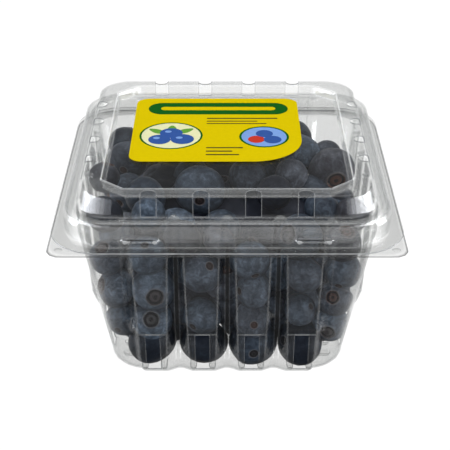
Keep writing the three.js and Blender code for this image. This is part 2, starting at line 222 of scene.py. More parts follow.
def sheet_mesh(rows, gone, centre=None):
    """Vertices and quads of rows of points that close round the pack. gone(i, j) drops a quad."""
    n = len(rows[0])
    verts = np.vstack(rows)
    faces = []
    for i in range(len(rows) - 1):
        for j in range(n):
            if gone is not None and gone(i, j):
                continue
            k = (j + 1) % n
            faces.append((i * n + j, (i + 1) * n + j, (i + 1) * n + k, i * n + k))
    if centre is not None:
        verts = np.vstack([verts, centre])
        c = len(verts) - 1
        faces += [(c, j, (j + 1) % n) for j in range(n)]
    return verts, faces


def set_painted_light_and_shade(ob, values):
    """Painted light and shade at each vertex: above nothing, painted highlight lines; below nothing, painted shade.
    """
    at = ob.data.attributes.new("painted_light_and_shade", "FLOAT", "POINT")
    at.data.foreach_set("value", np.asarray(values, np.float32))


def make_object(name, verts, faces, materials, smooth=True):
    me = bpy.data.meshes.new(name)
    v = np.asarray(verts, float).copy()
    v[:, 2] += FOOT
    me.from_pydata((v * MM).tolist(), [], [tuple(int(x) for x in f) for f in faces])
    me.update()
    for m in materials:
        me.materials.append(m)
    if smooth:
        me.polygons.foreach_set("use_smooth", np.ones(len(me.polygons), bool))
    ob = bpy.data.objects.new(name, me)
    scene.collection.objects.link(ob)
    return ob


def thicken(ob, t, sharp=48):
    """Turns a sheet's mid surface into a closed shell, and keeps its cut edges sharp."""
    mod = ob.modifiers.new("shell", "SOLIDIFY")
    mod.thickness = t * MM
    mod.offset = 0
    mod.use_even_offset = False
    mod.use_rim = True
    mod.material_offset_rim = 1
    dg = bpy.context.evaluated_depsgraph_get()
    me = bpy.data.meshes.new_from_object(ob.evaluated_get(dg))
    ob.modifiers.clear()
    old = ob.data
    name = old.name
    ob.data = me
    bpy.data.meshes.remove(old)
    me.name = name
    me.polygons.foreach_set("use_smooth", np.ones(len(me.polygons), bool))
    me.set_sharp_from_angle(angle=math.radians(sharp))
    return ob


def join(objects, name):
    for o in bpy.context.selected_objects:
        o.select_set(False)
    for o in objects:
        o.select_set(True)
    bpy.context.view_layer.objects.active = objects[0]
    with bpy.context.temp_override(active_object=objects[0], selected_editable_objects=objects):
        bpy.ops.object.join()
    objects[0].name = name
    objects[0].data.name = name
    return objects[0]


# ------------------------------------------------------------------ materials
def new_material(name):
    m = bpy.data.materials.new(name)
    m.use_nodes = True
    m.node_tree.nodes.clear()
    return m, m.node_tree


def node(nt, kind, **values):
    n = nt.nodes.new(kind)
    for k, v in values.items():
        if k in n.inputs:
            n.inputs[k].default_value = v
        else:
            setattr(n, k, v)
    return n


def math_node(nt, op, a, b=None, c=None, clamp=False):
    n = nt.nodes.new("ShaderNodeMath")
    n.operation = op
    n.use_clamp = clamp
    for i, x in enumerate((a, b, c)):
        if x is None:
            continue
        if isinstance(x, (int, float)):
            n.inputs[i].default_value = x
        else:
            nt.links.new(x, n.inputs[i])
    return n.outputs[0]


def mix_colour(nt, fac, a, b):
    n = nt.nodes.new("ShaderNodeMix")
    n.data_type = "RGBA"
    for sock, x in ((n.inputs[0], fac), (n.inputs[6], a), (n.inputs[7], b)):
        if isinstance(x, (int, float, tuple)):
            sock.default_value = x
        else:
            nt.links.new(x, sock)
    return n.outputs[2]


def film_material(name, tint, slant, rough, wave, wave_size, cloud=0.0):
    """Thin clear formed sheet: mostly see-through, mirrors more and passes less at a slant, with
    the slight waviness of formed film and faint scuffs. A per-vertex attribute paints highlight
    lines, as a whitish diffuse layer, and painted shade, as darker see-through."""
    m, nt = new_material(name)
    out = node(nt, "ShaderNodeOutputMaterial")
    mix = node(nt, "ShaderNodeMixShader")
    clear = node(nt, "ShaderNodeBsdfTransparent")
    gloss = node(nt, "ShaderNodeBsdfAnisotropic", Roughness=rough)
    gloss.inputs["Color"].default_value = (1, 1, 1, 1)
    lw = node(nt, "ShaderNodeLayerWeight", Blend=0.5)
    p = math_node(nt, "POWER", lw.outputs["Facing"], 5.0)
    fac = math_node(nt, "MULTIPLY_ADD", p, 0.955, 0.045, clamp=True)
    edge = math_node(nt, "POWER", lw.outputs["Facing"], 3.0)
    col = mix_colour(nt, edge, (*tint, 1), (*slant, 1))
    painted_lines = node(nt, "ShaderNodeAttribute", attribute_name="painted_light_and_shade")
    # below nothing, painted shade: the sheet is seen through more darkly, in the grooves and elsewhere
    painted_shade = math_node(nt, "MULTIPLY", painted_lines.outputs["Fac"], -1.0, clamp=True)
    col = mix_colour(nt, painted_shade, col, (0, 0, 0, 1))
    nt.links.new(col, clear.inputs["Color"])
    coord = node(nt, "ShaderNodeTexCoord")
    noise = node(nt, "ShaderNodeTexNoise", Scale=wave_size, Detail=2.0, Roughness=0.5)
    nt.links.new(coord.outputs["Object"], noise.inputs["Vector"])
    bump = node(nt, "ShaderNodeBump", Strength=wave, Distance=0.001)
    nt.links.new(noise.outputs["Fac"], bump.inputs["Height"])
    nt.links.new(bump.outputs["Normal"], gloss.inputs["Normal"])
    nt.links.new(fac, mix.inputs[0])
    nt.links.new(clear.outputs[0], mix.inputs[1])
    nt.links.new(gloss.outputs[0], mix.inputs[2])
    last = mix.outputs[0]
    if cloud > 0:
        # scuffs, and painted highlight lines where the attribute is above nothing, both as a whitish diffuse layer
        scuff_haze_and_highlight = node(nt, "ShaderNodeBsdfDiffuse")
        scuff_haze_and_highlight.inputs["Color"].default_value = (0.85, 0.87, 0.88, 1)
        scuff = node(nt, "ShaderNodeTexNoise", Scale=90.0, Detail=6.0, Roughness=0.65)
        nt.links.new(coord.outputs["Object"], scuff.inputs["Vector"])
        amount = math_node(nt, "MULTIPLY", scuff.outputs["Fac"], 2.0 * cloud, clamp=True)
        amount = math_node(nt, "MULTIPLY_ADD", painted_lines.outputs["Fac"], 0.13, amount, clamp=True)
        mix2 = node(nt, "ShaderNodeMixShader")
        nt.links.new(amount, mix2.inputs[0])
        nt.links.new(last, mix2.inputs[1])
        nt.links.new(scuff_haze_and_highlight.outputs[0], mix2.inputs[2])
        last = mix2.outputs[0]
    nt.links.new(last, out.inputs["Surface"])
    return m


def edge_material(name):
    """The cut edge of the sheet: a grey line, lighter than fruit behind it and darker than white."""
    m, nt = new_material(name)
    out = node(nt, "ShaderNodeOutputMaterial")
    mix = node(nt, "ShaderNodeMixShader")
    mix.inputs[0].default_value = 0.62
    clear = node(nt, "ShaderNodeBsdfTransparent", Color=(0.50, 0.51, 0.51, 1))
    pale = node(nt, "ShaderNodeBsdfPrincipled", Roughness=0.25)
    coord = node(nt, "ShaderNodeTexCoord")
    noise = node(nt, "ShaderNodeTexNoise", Scale=400.0, Detail=2.0)
    nt.links.new(coord.outputs["Object"], noise.inputs["Vector"])
    col = mix_colour(nt, noise.outputs["Fac"], (0.25, 0.26, 0.27, 1), (0.60, 0.62, 0.63, 1))
    nt.links.new(col, pale.inputs["Base Color"])
    nt.links.new(clear.outputs[0], mix.inputs[1])
    nt.links.new(pale.outputs[0], mix.inputs[2])
    nt.links.new(mix.outputs[0], out.inputs["Surface"])
    return m


def ramp(nt, value, stops):
    n = nt.nodes.new("ShaderNodeValToRGB")
    el = n.color_ramp.elements
    el[0].position, el[0].color = stops[0]
    el[1].position, el[1].color = stops[-1]
    for pos, c in stops[1:-1]:
        e = el.new(pos)
        e.color = c
    nt.links.new(value, n.inputs[0])
    return n.outputs[0]


def grey(v):
    return (v, v, v, 1)


def berry_material():
    """Blue-black skin under a dusty bloom that is rubbed thin in patches and streaks."""
    m, nt = new_material("blueberry_skin")
    out = node(nt, "ShaderNodeOutputMaterial")
    bsdf = node(nt, "ShaderNodeBsdfPrincipled")
    coord = node(nt, "ShaderNodeTexCoord")
    look = node(nt, "ShaderNodeAttribute", attribute_name="look")      # bloom, hue, crown
    sep = node(nt, "ShaderNodeSeparateColor")
    nt.links.new(look.outputs["Color"], sep.inputs[0])
    bloom, hue, crown = sep.outputs[0], sep.outputs[1], sep.outputs[2]
    big = node(nt, "ShaderNodeTexNoise", Scale=120.0, Detail=3.0, Roughness=0.55, Distortion=0.7)
    mid = node(nt, "ShaderNodeTexNoise", Scale=430.0, Detail=6.0, Roughness=0.66, Distortion=1.0)
    fine = node(nt, "ShaderNodeTexNoise", Scale=2200.0, Detail=4.0, Roughness=0.65)
    for n in (big, mid, fine):
        nt.links.new(coord.outputs["Object"], n.inputs["Vector"])
    patch = ramp(nt, big.outputs["Fac"], [(0.38, grey(0.0)), (0.54, grey(0.42)), (0.68, grey(1.0))])
    rub = ramp(nt, mid.outputs["Fac"], [(0.40, grey(0.0)), (0.52, grey(0.40)), (0.64, grey(1.0))])
    a = math_node(nt, "MULTIPLY_ADD", patch, 0.60, 0.31)
    b = math_node(nt, "MULTIPLY_ADD", rub, 0.52, 0.32)
    amount = math_node(nt, "MULTIPLY", a, b)
    amount = math_node(nt, "MULTIPLY", amount, bloom)
    speck = math_node(nt, "MULTIPLY_ADD", fine.outputs["Fac"], 0.7, 0.65)
    amount = math_node(nt, "MULTIPLY", amount, speck, clamp=True)
    skin = mix_colour(nt, hue, SKIN[0], SKIN[1])
    dust = mix_colour(nt, hue, DUST[0], DUST[1])
    skin = mix_colour(nt, amount, skin, dust)
    plain = ramp(nt, crown, [(0.40, (0.115, 0.122, 0.140, 1)), (0.55, (0.060, 0.062, 0.070, 1)), (0.70, (0.034, 0.034, 0.038, 1)), (0.86, (0.016, 0.015, 0.016, 1)), (1.0, (0.004, 0.004, 0.006, 1))])
    brown = ramp(nt, crown, [(0.40, (0.130, 0.120, 0.120, 1)), (0.60, (0.085, 0.040, 0.028, 1)), (0.80, (0.060, 0.022, 0.014, 1)), (1.0, (0.006, 0.005, 0.006, 1))])
    scar = mix_colour(nt, hue, plain, brown)
    here = ramp(nt, crown, [(0.05, grey(0.0)), (0.45, grey(0.85)), (0.6, grey(1.0))])
    col = mix_colour(nt, here, skin, scar)
    nt.links.new(col, bsdf.inputs["Base Color"])
    rough = math_node(nt, "MULTIPLY_ADD", amount, 0.30, 0.42, clamp=True)
    nt.links.new(rough, bsdf.inputs["Roughness"])
    bsdf.inputs["IOR"].default_value = 1.40
    bsdf.inputs["Specular IOR Level"].default_value = 0.20
    height = math_node(nt, "MULTIPLY_ADD", mid.outputs["Fac"], 0.8, fine.outputs["Fac"])
    bump = node(nt, "ShaderNodeBump", Strength=0.22, Distance=0.0003)
    nt.links.new(height, bump.inputs["Height"])
    nt.links.new(bump.outputs["Normal"], bsdf.inputs["Normal"])
    nt.links.new(bsdf.outputs[0], out.inputs["Surface"])
    return m


def core_material():
    m, nt = new_material("berry_core")
    out = node(nt, "ShaderNodeOutputMaterial")
    bsdf = node(nt, "ShaderNodeBsdfPrincipled", Roughness=0.8)
    coord = node(nt, "ShaderNodeTexCoord")
    noise = node(nt, "ShaderNodeTexNoise", Scale=300.0, Detail=4.0)
    nt.links.new(coord.outputs["Object"], noise.inputs["Vector"])
    col = mix_colour(nt, noise.outputs["Fac"], (0.006, 0.007, 0.012, 1), (0.022, 0.026, 0.040, 1))
    nt.links.new(col, bsdf.inputs["Base Color"])
    nt.links.new(bsdf.outputs[0], out.inputs["Surface"])
    return m


def print_material(name, colour, rough=0.42, spread=0.08):
    """Ink on film: even, with a fine unevenness of the print."""
    m, nt = new_material(name)
    out = node(nt, "ShaderNodeOutputMaterial")
    bsdf = node(nt, "ShaderNodeBsdfPrincipled", Roughness=rough)
    bsdf.inputs["Specular IOR Level"].default_value = 0.0
    coord = node(nt, "ShaderNodeTexCoord")
    noise = node(nt, "ShaderNodeTexNoise", Scale=700.0, Detail=4.0, Roughness=0.6)
    nt.links.new(coord.outputs["Object"], noise.inputs["Vector"])
    dark = tuple(c * (1 - spread) for c in colour)
    light = tuple(min(1.0, c * (1 + spread)) for c in colour)
    col = mix_colour(nt, noise.outputs["Fac"], (*dark, 1), (*light, 1))
    nt.links.new(col, bsdf.inputs["Base Color"])
    bump = node(nt, "ShaderNodeBump", Strength=0.04, Distance=0.0002)
    nt.links.new(noise.outputs["Fac"], bump.inputs["Height"])
    nt.links.new(bump.outputs["Normal"], bsdf.inputs["Normal"])
    nt.links.new(bsdf.outputs[0], out.inputs["Surface"])
    return m


TRAY_FILM = film_material("tray_film", (0.984, 0.985, 0.983), (0.80, 0.81, 0.81), 0.050, 0.16, 70.0, cloud=0.003)
LID_FILM = film_material("lid_film", (0.984, 0.985, 0.983), (0.80, 0.81, 0.81), 0.045, 0.14, 60.0, cloud=0.003)
FILM_EDGE = edge_material("film_edge")


# ------------------------------------------------------------------ tray
def make_tray():
    def side_columns(z):
        """Columns along one side at height z: close together at each fold, and following it."""
        face = float(face_half(min(max(z, 3.6), 69.0)))
        marks = [(0.9, 1), (9.2 - face, 1), (9.2 - SLOT_HALF, 3), (9.2 + SLOT_HALF, 4), (9.2 + face, 1), (17.5, 1), (19.3, 1),
                 (27.6 - face, 1), (27.6 - SLOT_HALF, 3), (27.6 + SLOT_HALF, 4), (27.6 + face, 1), (29.1 + face, 2), (30.1 + face, 2),
                 (31.6 + face, 2)]
        fixed = [0.0]
        for m, kind in marks:
            fixed += AROUND(m)[kind]
        fixed.append(TRAY_S1)
        fill = FILL
        out = [0.0]
        for i in range(len(fixed) - 1):
            k = fill[i]
            out += [fixed[i] + (fixed[i + 1] - fixed[i]) * j / (k + 1) for j in range(1, k + 2)]
        out = np.array(out)
        return np.r_[-out[:0:-1], out]

    FILL = []
    AROUND = lambda m: {1: [m - .34, m - .14, m + .06, m + .3], 2: [m - .2, m + .2], 3: [m - .3, m], 4: [m, m + .3]}
    ref = [0.0]
    for m, kind in ((0.9, 1), (3.3, 1), (6.55, 3), (11.85, 4), (15.1, 1), (17.5, 1), (19.3, 1), (21.7, 1), (24.95, 3), (30.25, 4),
                    (33.5, 1), (35.0, 2), (36.0, 2), (37.5, 2)):
        ref += AROUND(m)[kind]
    ref.append(TRAY_S1)
    for i in range(len(ref) - 1):
        gap = ref[i + 1] - ref[i]
        FILL.append(0 if gap < 0.9 else int(gap / 1.35))
    cols = Columns([side_columns(20.0)] * 4, TRAY_S1, 18)
    cols.moved = side_columns

    def wall_row(z, d=0.0, out=0.0, zz=None):
        zc = max(z, 3.6)
        cols.level = zc
        p = cols.row(lambda s, q: wall(s, zc, q) - HALF_T + out,
                     lambda q: corner_path(float(body_half(zc)) - HALF_T + out, CORNER_R, TRAY_S1, cols.taus),
                     z if zz is None else zz)
        if d:
            p[:, :2] *= 1 - d / 45.0
        return p

    rows = []
    for f, dz in ((0.10, .35), (0.26, .35), (0.42, .34), (0.56, .30), (0.68, .24), (0.78, .14), (0.86, .04)):
        p = wall_row(3.6)
        p[:, :2] *= f
        p[:, 2] = -1.88 + dz
        rows.append(p)
    # rounded foot, up to the wall
    for a in (90, 76, 63, 50, 37.5, 25, 12, 0):
        t = math.radians(a)
        rows.append(wall_row(3.6, d=3.4 * (1 - math.cos(t)), zz=3.6 - 5.5 * math.sin(t)))
    low_wall = len(rows)
    low = len(rows) - 4                # the row at the slots' lower end
    zs = [4.8, 6.0, 7.2, 8.4, 9.6, 11.0, 12.6, 14.4, 16.2, 17.6]
    rows += [wall_row(z) for z in zs]
    high = len(rows) - 1
    zs = [17.8, 18.0, 18.4, 19.0, 19.7, 20.4, 21.1, 22.0, 23.0, 24.0, 25.2, 27.5, 31, 35, 39, 43, 47, 51,
          55, 58, 59.4, 61, 63.5, 66, 67.6, 68.2]
    rows += [wall_row(z) for z in zs]
    # rolled bead, down to the flange
    first_bead = len(rows)
    # painted light and shade on the bead and flange rows: painted highlight lines on the bead and where the flange
    # begins, painted shade over the flange and a dark painted line at its outer edge
    PAINTED_ROWS = {2: 0.5, 3: 0.4, 11: 0.3, 12: 0.2, 13: -0.07, 14: -0.07, 15: -0.07, 16: -0.07, 17: 0.0, 18: -0.25, 19: -0.6}
    cols.level = 68.5
    rows.append(wall_row(68.5, out=0.08, zz=68.5))
    rows.append(wall_row(68.5, out=0.35, zz=68.72))
    rows.append(wall_row(68.5, out=0.9, zz=68.80))
    ear = lambda k: (lerp(15.6, 4.5, k), lerp(15.6, 17.6, k), lerp(15.6, 17.6, k), lerp(15.6, 4.5, k))
    for h, r, z in ((54.9, 14.4, 68.80), (55.4, 14.8, 68.72), (55.75, 15.1, 68.45), (55.9, 15.3, 68.0),
                    (56.05, 15.4, 66.4), (56.2, 15.5, 64.2), (56.35, 15.6, 62.2), (56.47, 15.6, 60.6)):
        rows.append(cols.round_row(h, r, z))
    for h, k, z in ((56.62, .0, 60.0), (56.95, .03, 59.72), (57.5, .1, 59.64), (58.6, .3, 59.64), (59.8, .55, 59.64),
                    (61.0, .8, 59.64), (61.7, .95, 59.62), (62.1, 1.0, 59.5), (62.27, 1.0, 59.25)):
        rows.append(cols.round_row(h, ear(k), z))

    slot_cols = set()
    for q in range(4):
        s = side_columns(10.0)
        for i in range(len(s) - 1):
            mid = (s[i] + s[i + 1]) / 2
            if any(abs(mid - f) < SLOT_HALF for f in FLUTES):
                slot_cols.add(cols.start[q] + i)
    verts, faces = sheet_mesh(rows, lambda i, j: low <= i < high and j in slot_cols,
                              centre=[[0, 0, -1.52]])
    face = float(face_half(20.0))
    # painted highlight lines up the wall: brightest at the edges of the flutes' faces, faint at the other folds
    painted_highlight_cols = []
    for x in np.abs(side_columns(20.0)):
        near = min(abs(x + 0.04 - m) for m in (9.2 - face, 9.2 + face, 27.6 - face, 27.6 + face))
        less = min(abs(x + 0.04 - m) for m in (0.9, 17.5, 19.3, 29.1 + face, 31.6 + face))
        painted_highlight_cols.append(0.55 if near < 0.12 else 0.12 if less < 0.12 else 0.0)
    upright = cols.marks([painted_highlight_cols] * 4)
    away = np.min([np.abs(np.abs(side_columns(20.0)) - f) for f in (9.2, 27.6)], axis=0)
    on_face = cols.marks([(away < face).astype(float)] * 4)
    slot_side = cols.marks([(np.abs(away - SLOT_HALF) < 0.03).astype(float)] * 4)
    # painted shade down the middle of each groove between the flutes
    into = np.min([np.abs(np.abs(side_columns(20.0)) - g) for g in (0.0, 18.4)], axis=0)
    painted_shade = cols.marks([np.interp(into, (0.0, 0.65, 1.2, 1.8, 2.6), (0.50, 0.50, 0.20, 0.05, 0.0))] * 4)
    # each row's painted light and shade: highlight lines up the flute edges, across the flute faces above the slots
    # and down the slots' sides; painted shade in the grooves and over the lowest part of the wall; a faint painted
    # shade over the foot and base
    painted_light_and_shade = []
    for i, row in enumerate(rows):
        z = float(np.median(row[:, 2]))
        level = PAINTED_ROWS.get(i - first_bead, 0.0) if i >= first_bead else 0.0
        if low_wall <= i < first_bead and z < 68.4:
            across = on_face * (3.0 if abs(z - 17.8) < 0.06 else 0.15 if abs(z - 20.4) < 0.05 else 0.0)
            slot = slot_side * (1.2 if low <= i <= high else 0.0)
            light = np.maximum.reduce([upright * (0.35 if z < 8 else 1.0), across, slot])
            shade = np.maximum(painted_shade * float(np.interp(z, (9, 14, 50, 58), (0, 1, 1, 0))), float(np.interp(z, (12, 22), (0.055, 0))))
            painted_light_and_shade.append(np.where(light > 0.0, light, -shade))
        else:
            painted_light_and_shade.append(np.full(len(row), level if i >= low_wall else -0.055))
    body = make_object("tray_film", verts, faces, [TRAY_FILM, FILM_EDGE])
    set_painted_light_and_shade(body, np.r_[np.concatenate(painted_light_and_shade), 0.0])
    tray = thicken(body, TRAY_T)

    # rib feet: small hollow ribs under each flute, in pairs
    extra = []
    for q in range(4):
        n0 = 43.6 + 0.594 + PROUD[q] - 4.3
        for f in FLUTES:
            for off in (-3.6, 3.6):
                rings = []
                for ins, z in ((0, -1.70), (0.10, -2.1), (0.32, -2.65), (0.62, -3.0), (1.0, -3.17)):
                    w, l = 1.2 - 0.55 * ins, 4.0 - ins
                    pts = []
                    for i in range(24):
                        a = 2 * math.pi * (i + 0.5) / 24
                        ca, sa = math.cos(a), math.sin(a)
                        k = (abs(ca) ** 5 + abs(sa) ** 5) ** (-1 / 5)
                        pts.append((f + off + w * k * ca, -(n0 - 4.0) + l * k * sa))
                    rings.append(np.c_[rotated(np.array(pts), q), np.full(24, z)])
                centre = [[*rings[-1][:, :2].mean(0), -3.19]]
                v = np.vstack([*rings, centre])
                fs = []
                for i in range(len(rings) - 1):
                    for j in range(24):
                        k = (j + 1) % 24
                        fs.append((i * 24 + j, i * 24 + k, (i + 1) * 24 + k, (i + 1) * 24 + j))
                last = (len(rings) - 1) * 24
                fs += [(last + j, last + (j + 1) % 24, len(v) - 1) for j in range(24)]
                extra.append((v, fs))
    vs, fs, at = [], [], 0
    for v, f in extra:
        vs.append(v)
        fs += [tuple(i + at for i in x) for x in f]
        at += len(v)
    feet = thicken(make_object("feet", np.vstack(vs), fs, [TRAY_FILM, FILM_EDGE]), 0.22, sharp=60)

    # small oval dimples in the flange's front ears
    vs, fs, at = [], [], 0
    for sx in (-1, 1):
        rings = []
        for k, z in ((1.0, 59.80), (0.86, 60.0), (0.62, 60.12), (0.34, 60.16)):
            a = 2 * np.pi * np.arange(20) / 20
            rings.append(np.c_[sx * 58.3 + 1.4 * k * np.cos(a), -58.3 + 1.1 * k * np.sin(a), np.full(20, z)])
        v = np.vstack([*rings, [[sx * 58.3, -58.3, 60.17]]])
        for i in range(3):
            for j in range(20):
                k = (j + 1) % 20
                fs.append((at + i * 20 + j, at + i * 20 + k, at + (i + 1) * 20 + k, at + (i + 1) * 20 + j))
        fs += [(at + 60 + j, at + 60 + (j + 1) % 20, at + 80) for j in range(20)]
        vs.append(v)
        at += len(v)
    dimples = thicken(make_object("dimples", np.vstack(vs), fs, [TRAY_FILM, FILM_EDGE]), 0.16, sharp=60)
    return join([tray, feet, dimples], "tray_film")


# ------------------------------------------------------------------ lid
OCT = dict(x=44.4, y=46.3, cx=8.3, cy=7.0)


def make_lid():
    sides = []
    for q in range(4):
        vents = VENTS_FRONT if q % 2 == 0 else [(y if q == 1 else -y) for y in VENTS_SIDE_Y]
        marks = set()
        for v in vents:
            marks |= {v - 2.95, v - 2.65, v + 2.65, v + 2.95}
        inner = set()
        for v in vents:
            inner |= {v + k * 2.65 for k in (-.86, -.62, -.33, 0, .33, .62, .86)}
        if q == 0:
            for sg in (-1, 1):
                for x in (22.6, 23.1, 23.5, 23.9, 24.3, 24.8, 25.3, 34.7, 35.2, 35.7, 36.1, 36.5, 36.9, 37.4):
                    inner.add(sg * x)
        s = set(marks)
        for x in sorted(inner):
            if all(abs(x - m) > 0.16 for m in s):
                s.add(x)
        for x in np.arange(-LID_S1, LID_S1 + 1e-6, LID_S1 / 28):
            if all(abs(x - m) > 0.45 for m in s):
                s.add(float(x))
        s |= {-LID_S1, LID_S1}
        sides.append(s)
    cols = Columns(sides, LID_S1, 26)
    taus = cols.taus

    def oct_row(d, z):
        """The recessed panel's eight-sided outline, grown by d."""
        hx, hy = OCT["x"] + d, OCT["y"] + d
        cx, cy = OCT["cx"] + 0.4 * d, OCT["cy"] + 0.4 * d

        def dims(q):
            return (hx, hy, cx, cy) if q % 2 == 0 else (hy, hx, cy, cx)

        def side(s, q):
            ha, hn, ca, cn = dims(q)
            over = np.maximum(np.abs(s) - (ha - ca), 0)
            return hn - over * cn / ca

        def corner(q):
            ha, hn, ca, cn = dims(q)
            s1 = LID_S1
            path = [(s1, -float(side(np.array([s1]), q)[0]))]
            if s1 < ha - ca:
                path.append((ha - ca, -hn))
            path.append((ha, -(hn - cn)))
            other = float(side(np.array([s1]), (q + 1) % 4)[0])
            if s1 <= hn - cn:
                path.append((ha, -s1))
            else:
                path.append((other, -s1))
                # the chamfer ends on the next side's own columns
                path.pop(-2)
            path = np.array(path)
            seg = np.linalg.norm(np.diff(path, axis=0), axis=1)
            at = np.r_[0, np.cumsum(seg)] / seg.sum()
            # let the corners of the outline fall on columns
            snap = [0] + [round(a * (len(taus) + 1)) / (len(taus) + 1) for a in at[1:-1]] + [1]
            t = np.interp(taus, snap, at)
            return np.c_[np.interp(t, at, path[:, 0]), np.interp(t, at, path[:, 1])]

        return cols.row(side, corner, z)

    rows = []
    for f in (0.08, 0.24, 0.42, 0.6, 0.76, 0.89, 0.96):
        p = oct_row(-1.4, 73.47)
        p[:, :2] *= f
        rows.append(p)
    for d, z in ((-1.30, 73.48), (-0.98, 73.56), (-0.84, 73.78), (-0.78, 74.1), (-0.60, 75.0), (-0.42, 75.9),
                 (-0.22, 76.9), (-0.14, 77.18), (0.02, 77.40), (0.24, 77.48), (0.46, 77.48)):
        rows.append(oct_row(d, z))
    rows.append(cols.round_row(47.18, 8.2, 77.48))

    # the row that the vents' round ends reach in to
    def vent_row():
        p = cols.round_row(49.72, 10.4, 77.48)
        for q, s in enumerate(cols.sides):
            vents = VENTS_FRONT if q % 2 == 0 else [(y if q == 1 else -y) for y in VENTS_SIDE_Y]
            for i, x in enumerate(s):
                for v in vents:
                    t = (x - v) / 2.65
                    if abs(t) < 1:
                        n = 49.72 - 2.12 * math.sqrt(1 - t * t)
                        p[cols.start[q] + i, :2] = rotated(np.array([[x, -n]]), q)[0]
        return p

    rows.append(vent_row())
    vent_top = len(rows) - 1
    for h, r, z in ((50.25, 10.8, 77.48), (50.62, 11.1, 77.46), (51.0, 11.4, 77.36), (51.32, 11.6, 77.16), (51.54, 11.8, 76.88),
                    (51.68, 11.9, 76.5), (51.95, 12.1, 75.4), (52.22, 12.3, 74.3), (52.49, 12.5, 73.2), (52.76, 12.65, 72.1),
                    (53.02, 12.8, 71.1), (53.24, 12.9, 70.2)):
        rows.append(cols.round_row(h, r, z))
    vent_low = len(rows) - 1
    for h, r, z in ((53.36, 13.0, 69.98), (53.56, 13.0, 69.78), (53.9, 13.1, 69.68), (54.5, 13.4, 69.66), (55.6, 14.2, 69.66),
                    (56.5, 15.0, 69.65), (57.0, 15.4, 69.58), (57.35, 15.7, 69.38), (57.56, 15.85, 69.0), (57.63, 15.9, 68.5)):
        rows.append(cols.round_row(h, r, z))

    def relief(z):
        def f(q, part, x):
            if part == "side":
                if q != 0:
                    return np.zeros(len(x))
                a = np.abs(x)
                d = np.hypot(np.maximum(np.maximum(24.8 - a, a - 35.2), 0), z - 63.0) / 1.35
                return 1.1 * np.sqrt(np.clip(1 - d * d, 0, 1))
            if q in (0, 3):
                # a flat pad on each front corner, with upright edges
                h, r = 57.66, 15.95
                p = corner_path(h, r, LID_S1, x)
                c = h - r
                a = np.degrees(np.arctan2(p[:, 0] - c, -(p[:, 1] + c)))
                if q == 3:
                    a = 90 - a
                up = smooth01((z - 61.3) / 0.8) * smooth01((68.6 - z) / 0.8)
                return 0.55 * up * smooth01((a - 38.5) / 3) * smooth01((62.5 - a) / 3)
            return np.zeros(len(x))
        return f

    for z in (67.6, 66.6, 65.6, 64.9, 64.4, 64.1, 63.8, 63.5, 63.2, 62.9, 62.6, 62.3, 62.0, 61.7, 61.4):
        rows.append(cols.round_row(57.66, 15.95, z, relief(z)))
    for h, r, z in ((57.70, 16.0, 61.0), (57.82, 16.0, 60.7), (58.1, 16.1, 60.52), (58.6, 16.2, 60.45), (59.6, 16.6, 60.45),
                    (60.7, 17.0, 60.45), (61.6, 17.3, 60.46), (62.05, 17.5, 60.50), (62.28, 17.6, 60.62)):
        rows.append(cols.round_row(h, r, z))

    vent_cols = set()
    for q, s in enumerate(cols.sides):
        vents = VENTS_FRONT if q % 2 == 0 else [(y if q == 1 else -y) for y in VENTS_SIDE_Y]
        for i in range(len(s) - 1):
            mid = (s[i] + s[i + 1]) / 2
            if any(abs(mid - v) < 2.65 for v in vents):
                vent_cols.add(cols.start[q] + i)
    verts, faces = sheet_mesh(rows, lambda i, j: vent_top <= i < vent_low and j in vent_cols,
                              centre=[[0, 0, 73.47]])
    # the painted highlight on the rim is brightest along the front and its two front corners, fainter at the sides
    # and back
    ahead = cols.marks([np.full(len(s), k) for s, k in zip(cols.sides, (1.0, 0.42, 0.2, 0.42))], 0.25)
    for q in (0, 3):
        at = cols.start[q] + len(cols.sides[q])
        ahead[at:at + len(taus)] = 0.9
    # painted highlight lines by row: down the recess, along its rim, at the dome's foot and round the ledge
    painted_lines = {8: 0.4, 9: 0.8, 10: 0.5, 11: 0.38, 12: 0.38, 13: 0.38, 14: 2.2, 15: 7.0, 16: 3.2, 17: 0.4, 18: 0.3, 19: 0.3}
    painted_light_and_shade = []
    for i, row in enumerate(rows):
        k = i - vent_top
        level = painted_lines.get(i, {12: 0.2, 13: 0.35, 14: 0.2, 18: 0.3, 19: 0.5, 20: 0.3}.get(k, 0.0))
        painted_light_and_shade.append(np.full(len(row), level) * (ahead if 14 <= i <= 19 else 1.0))
    # a painted highlight line along the lid's outer edge
    painted_light_and_shade[-1][:] = 0.7
    # the snap bars on the front of the skirt: painted highlights at their ends and middle, painted shade lines above
    # and below
    for i in range(len(rows)):
        z = rows[i][cols.start[0] + len(cols.sides[0]) // 2][2]
        if 61.0 < z < 65.0:
            for j, x in enumerate(cols.sides[0]):
                a = abs(x)
                end = min(math.hypot(a - 24.8, z - 63.0), math.hypot(a - 35.2, z - 63.0))
                if end < 0.75:
                    painted_light_and_shade[i][cols.start[0] + j] = 2.6
                elif 24.8 < a < 35.2 and abs(z - 63.0) < 0.95:
                    painted_light_and_shade[i][cols.start[0] + j] = 0.55 if abs(z - 63.0) < 0.3 else -0.42 if abs(z - 63.0) > 0.65 else 0.0
    # painted highlight lines down the cut sides of each vent and across its lower end
    for q, s in enumerate(cols.sides):
        vents = VENTS_FRONT if q % 2 == 0 else [(y if q == 1 else -y) for y in VENTS_SIDE_Y]
        for i, x in enumerate(s):
            away = min(abs(x - v) for v in vents)
            if abs(away - 2.65) < 0.03:
                for k in range(vent_top + 1, vent_low + 1):
                    painted_light_and_shade[k][cols.start[q] + i] = 1.5
            if away < 2.7:
                painted_light_and_shade[vent_low][cols.start[q] + i] = 1.6
    body = make_object("lid_film", verts, faces, [LID_FILM, FILM_EDGE])
    set_painted_light_and_shade(body, np.r_[np.concatenate(painted_light_and_shade), 0.0])
    return thicken(body, LID_T)


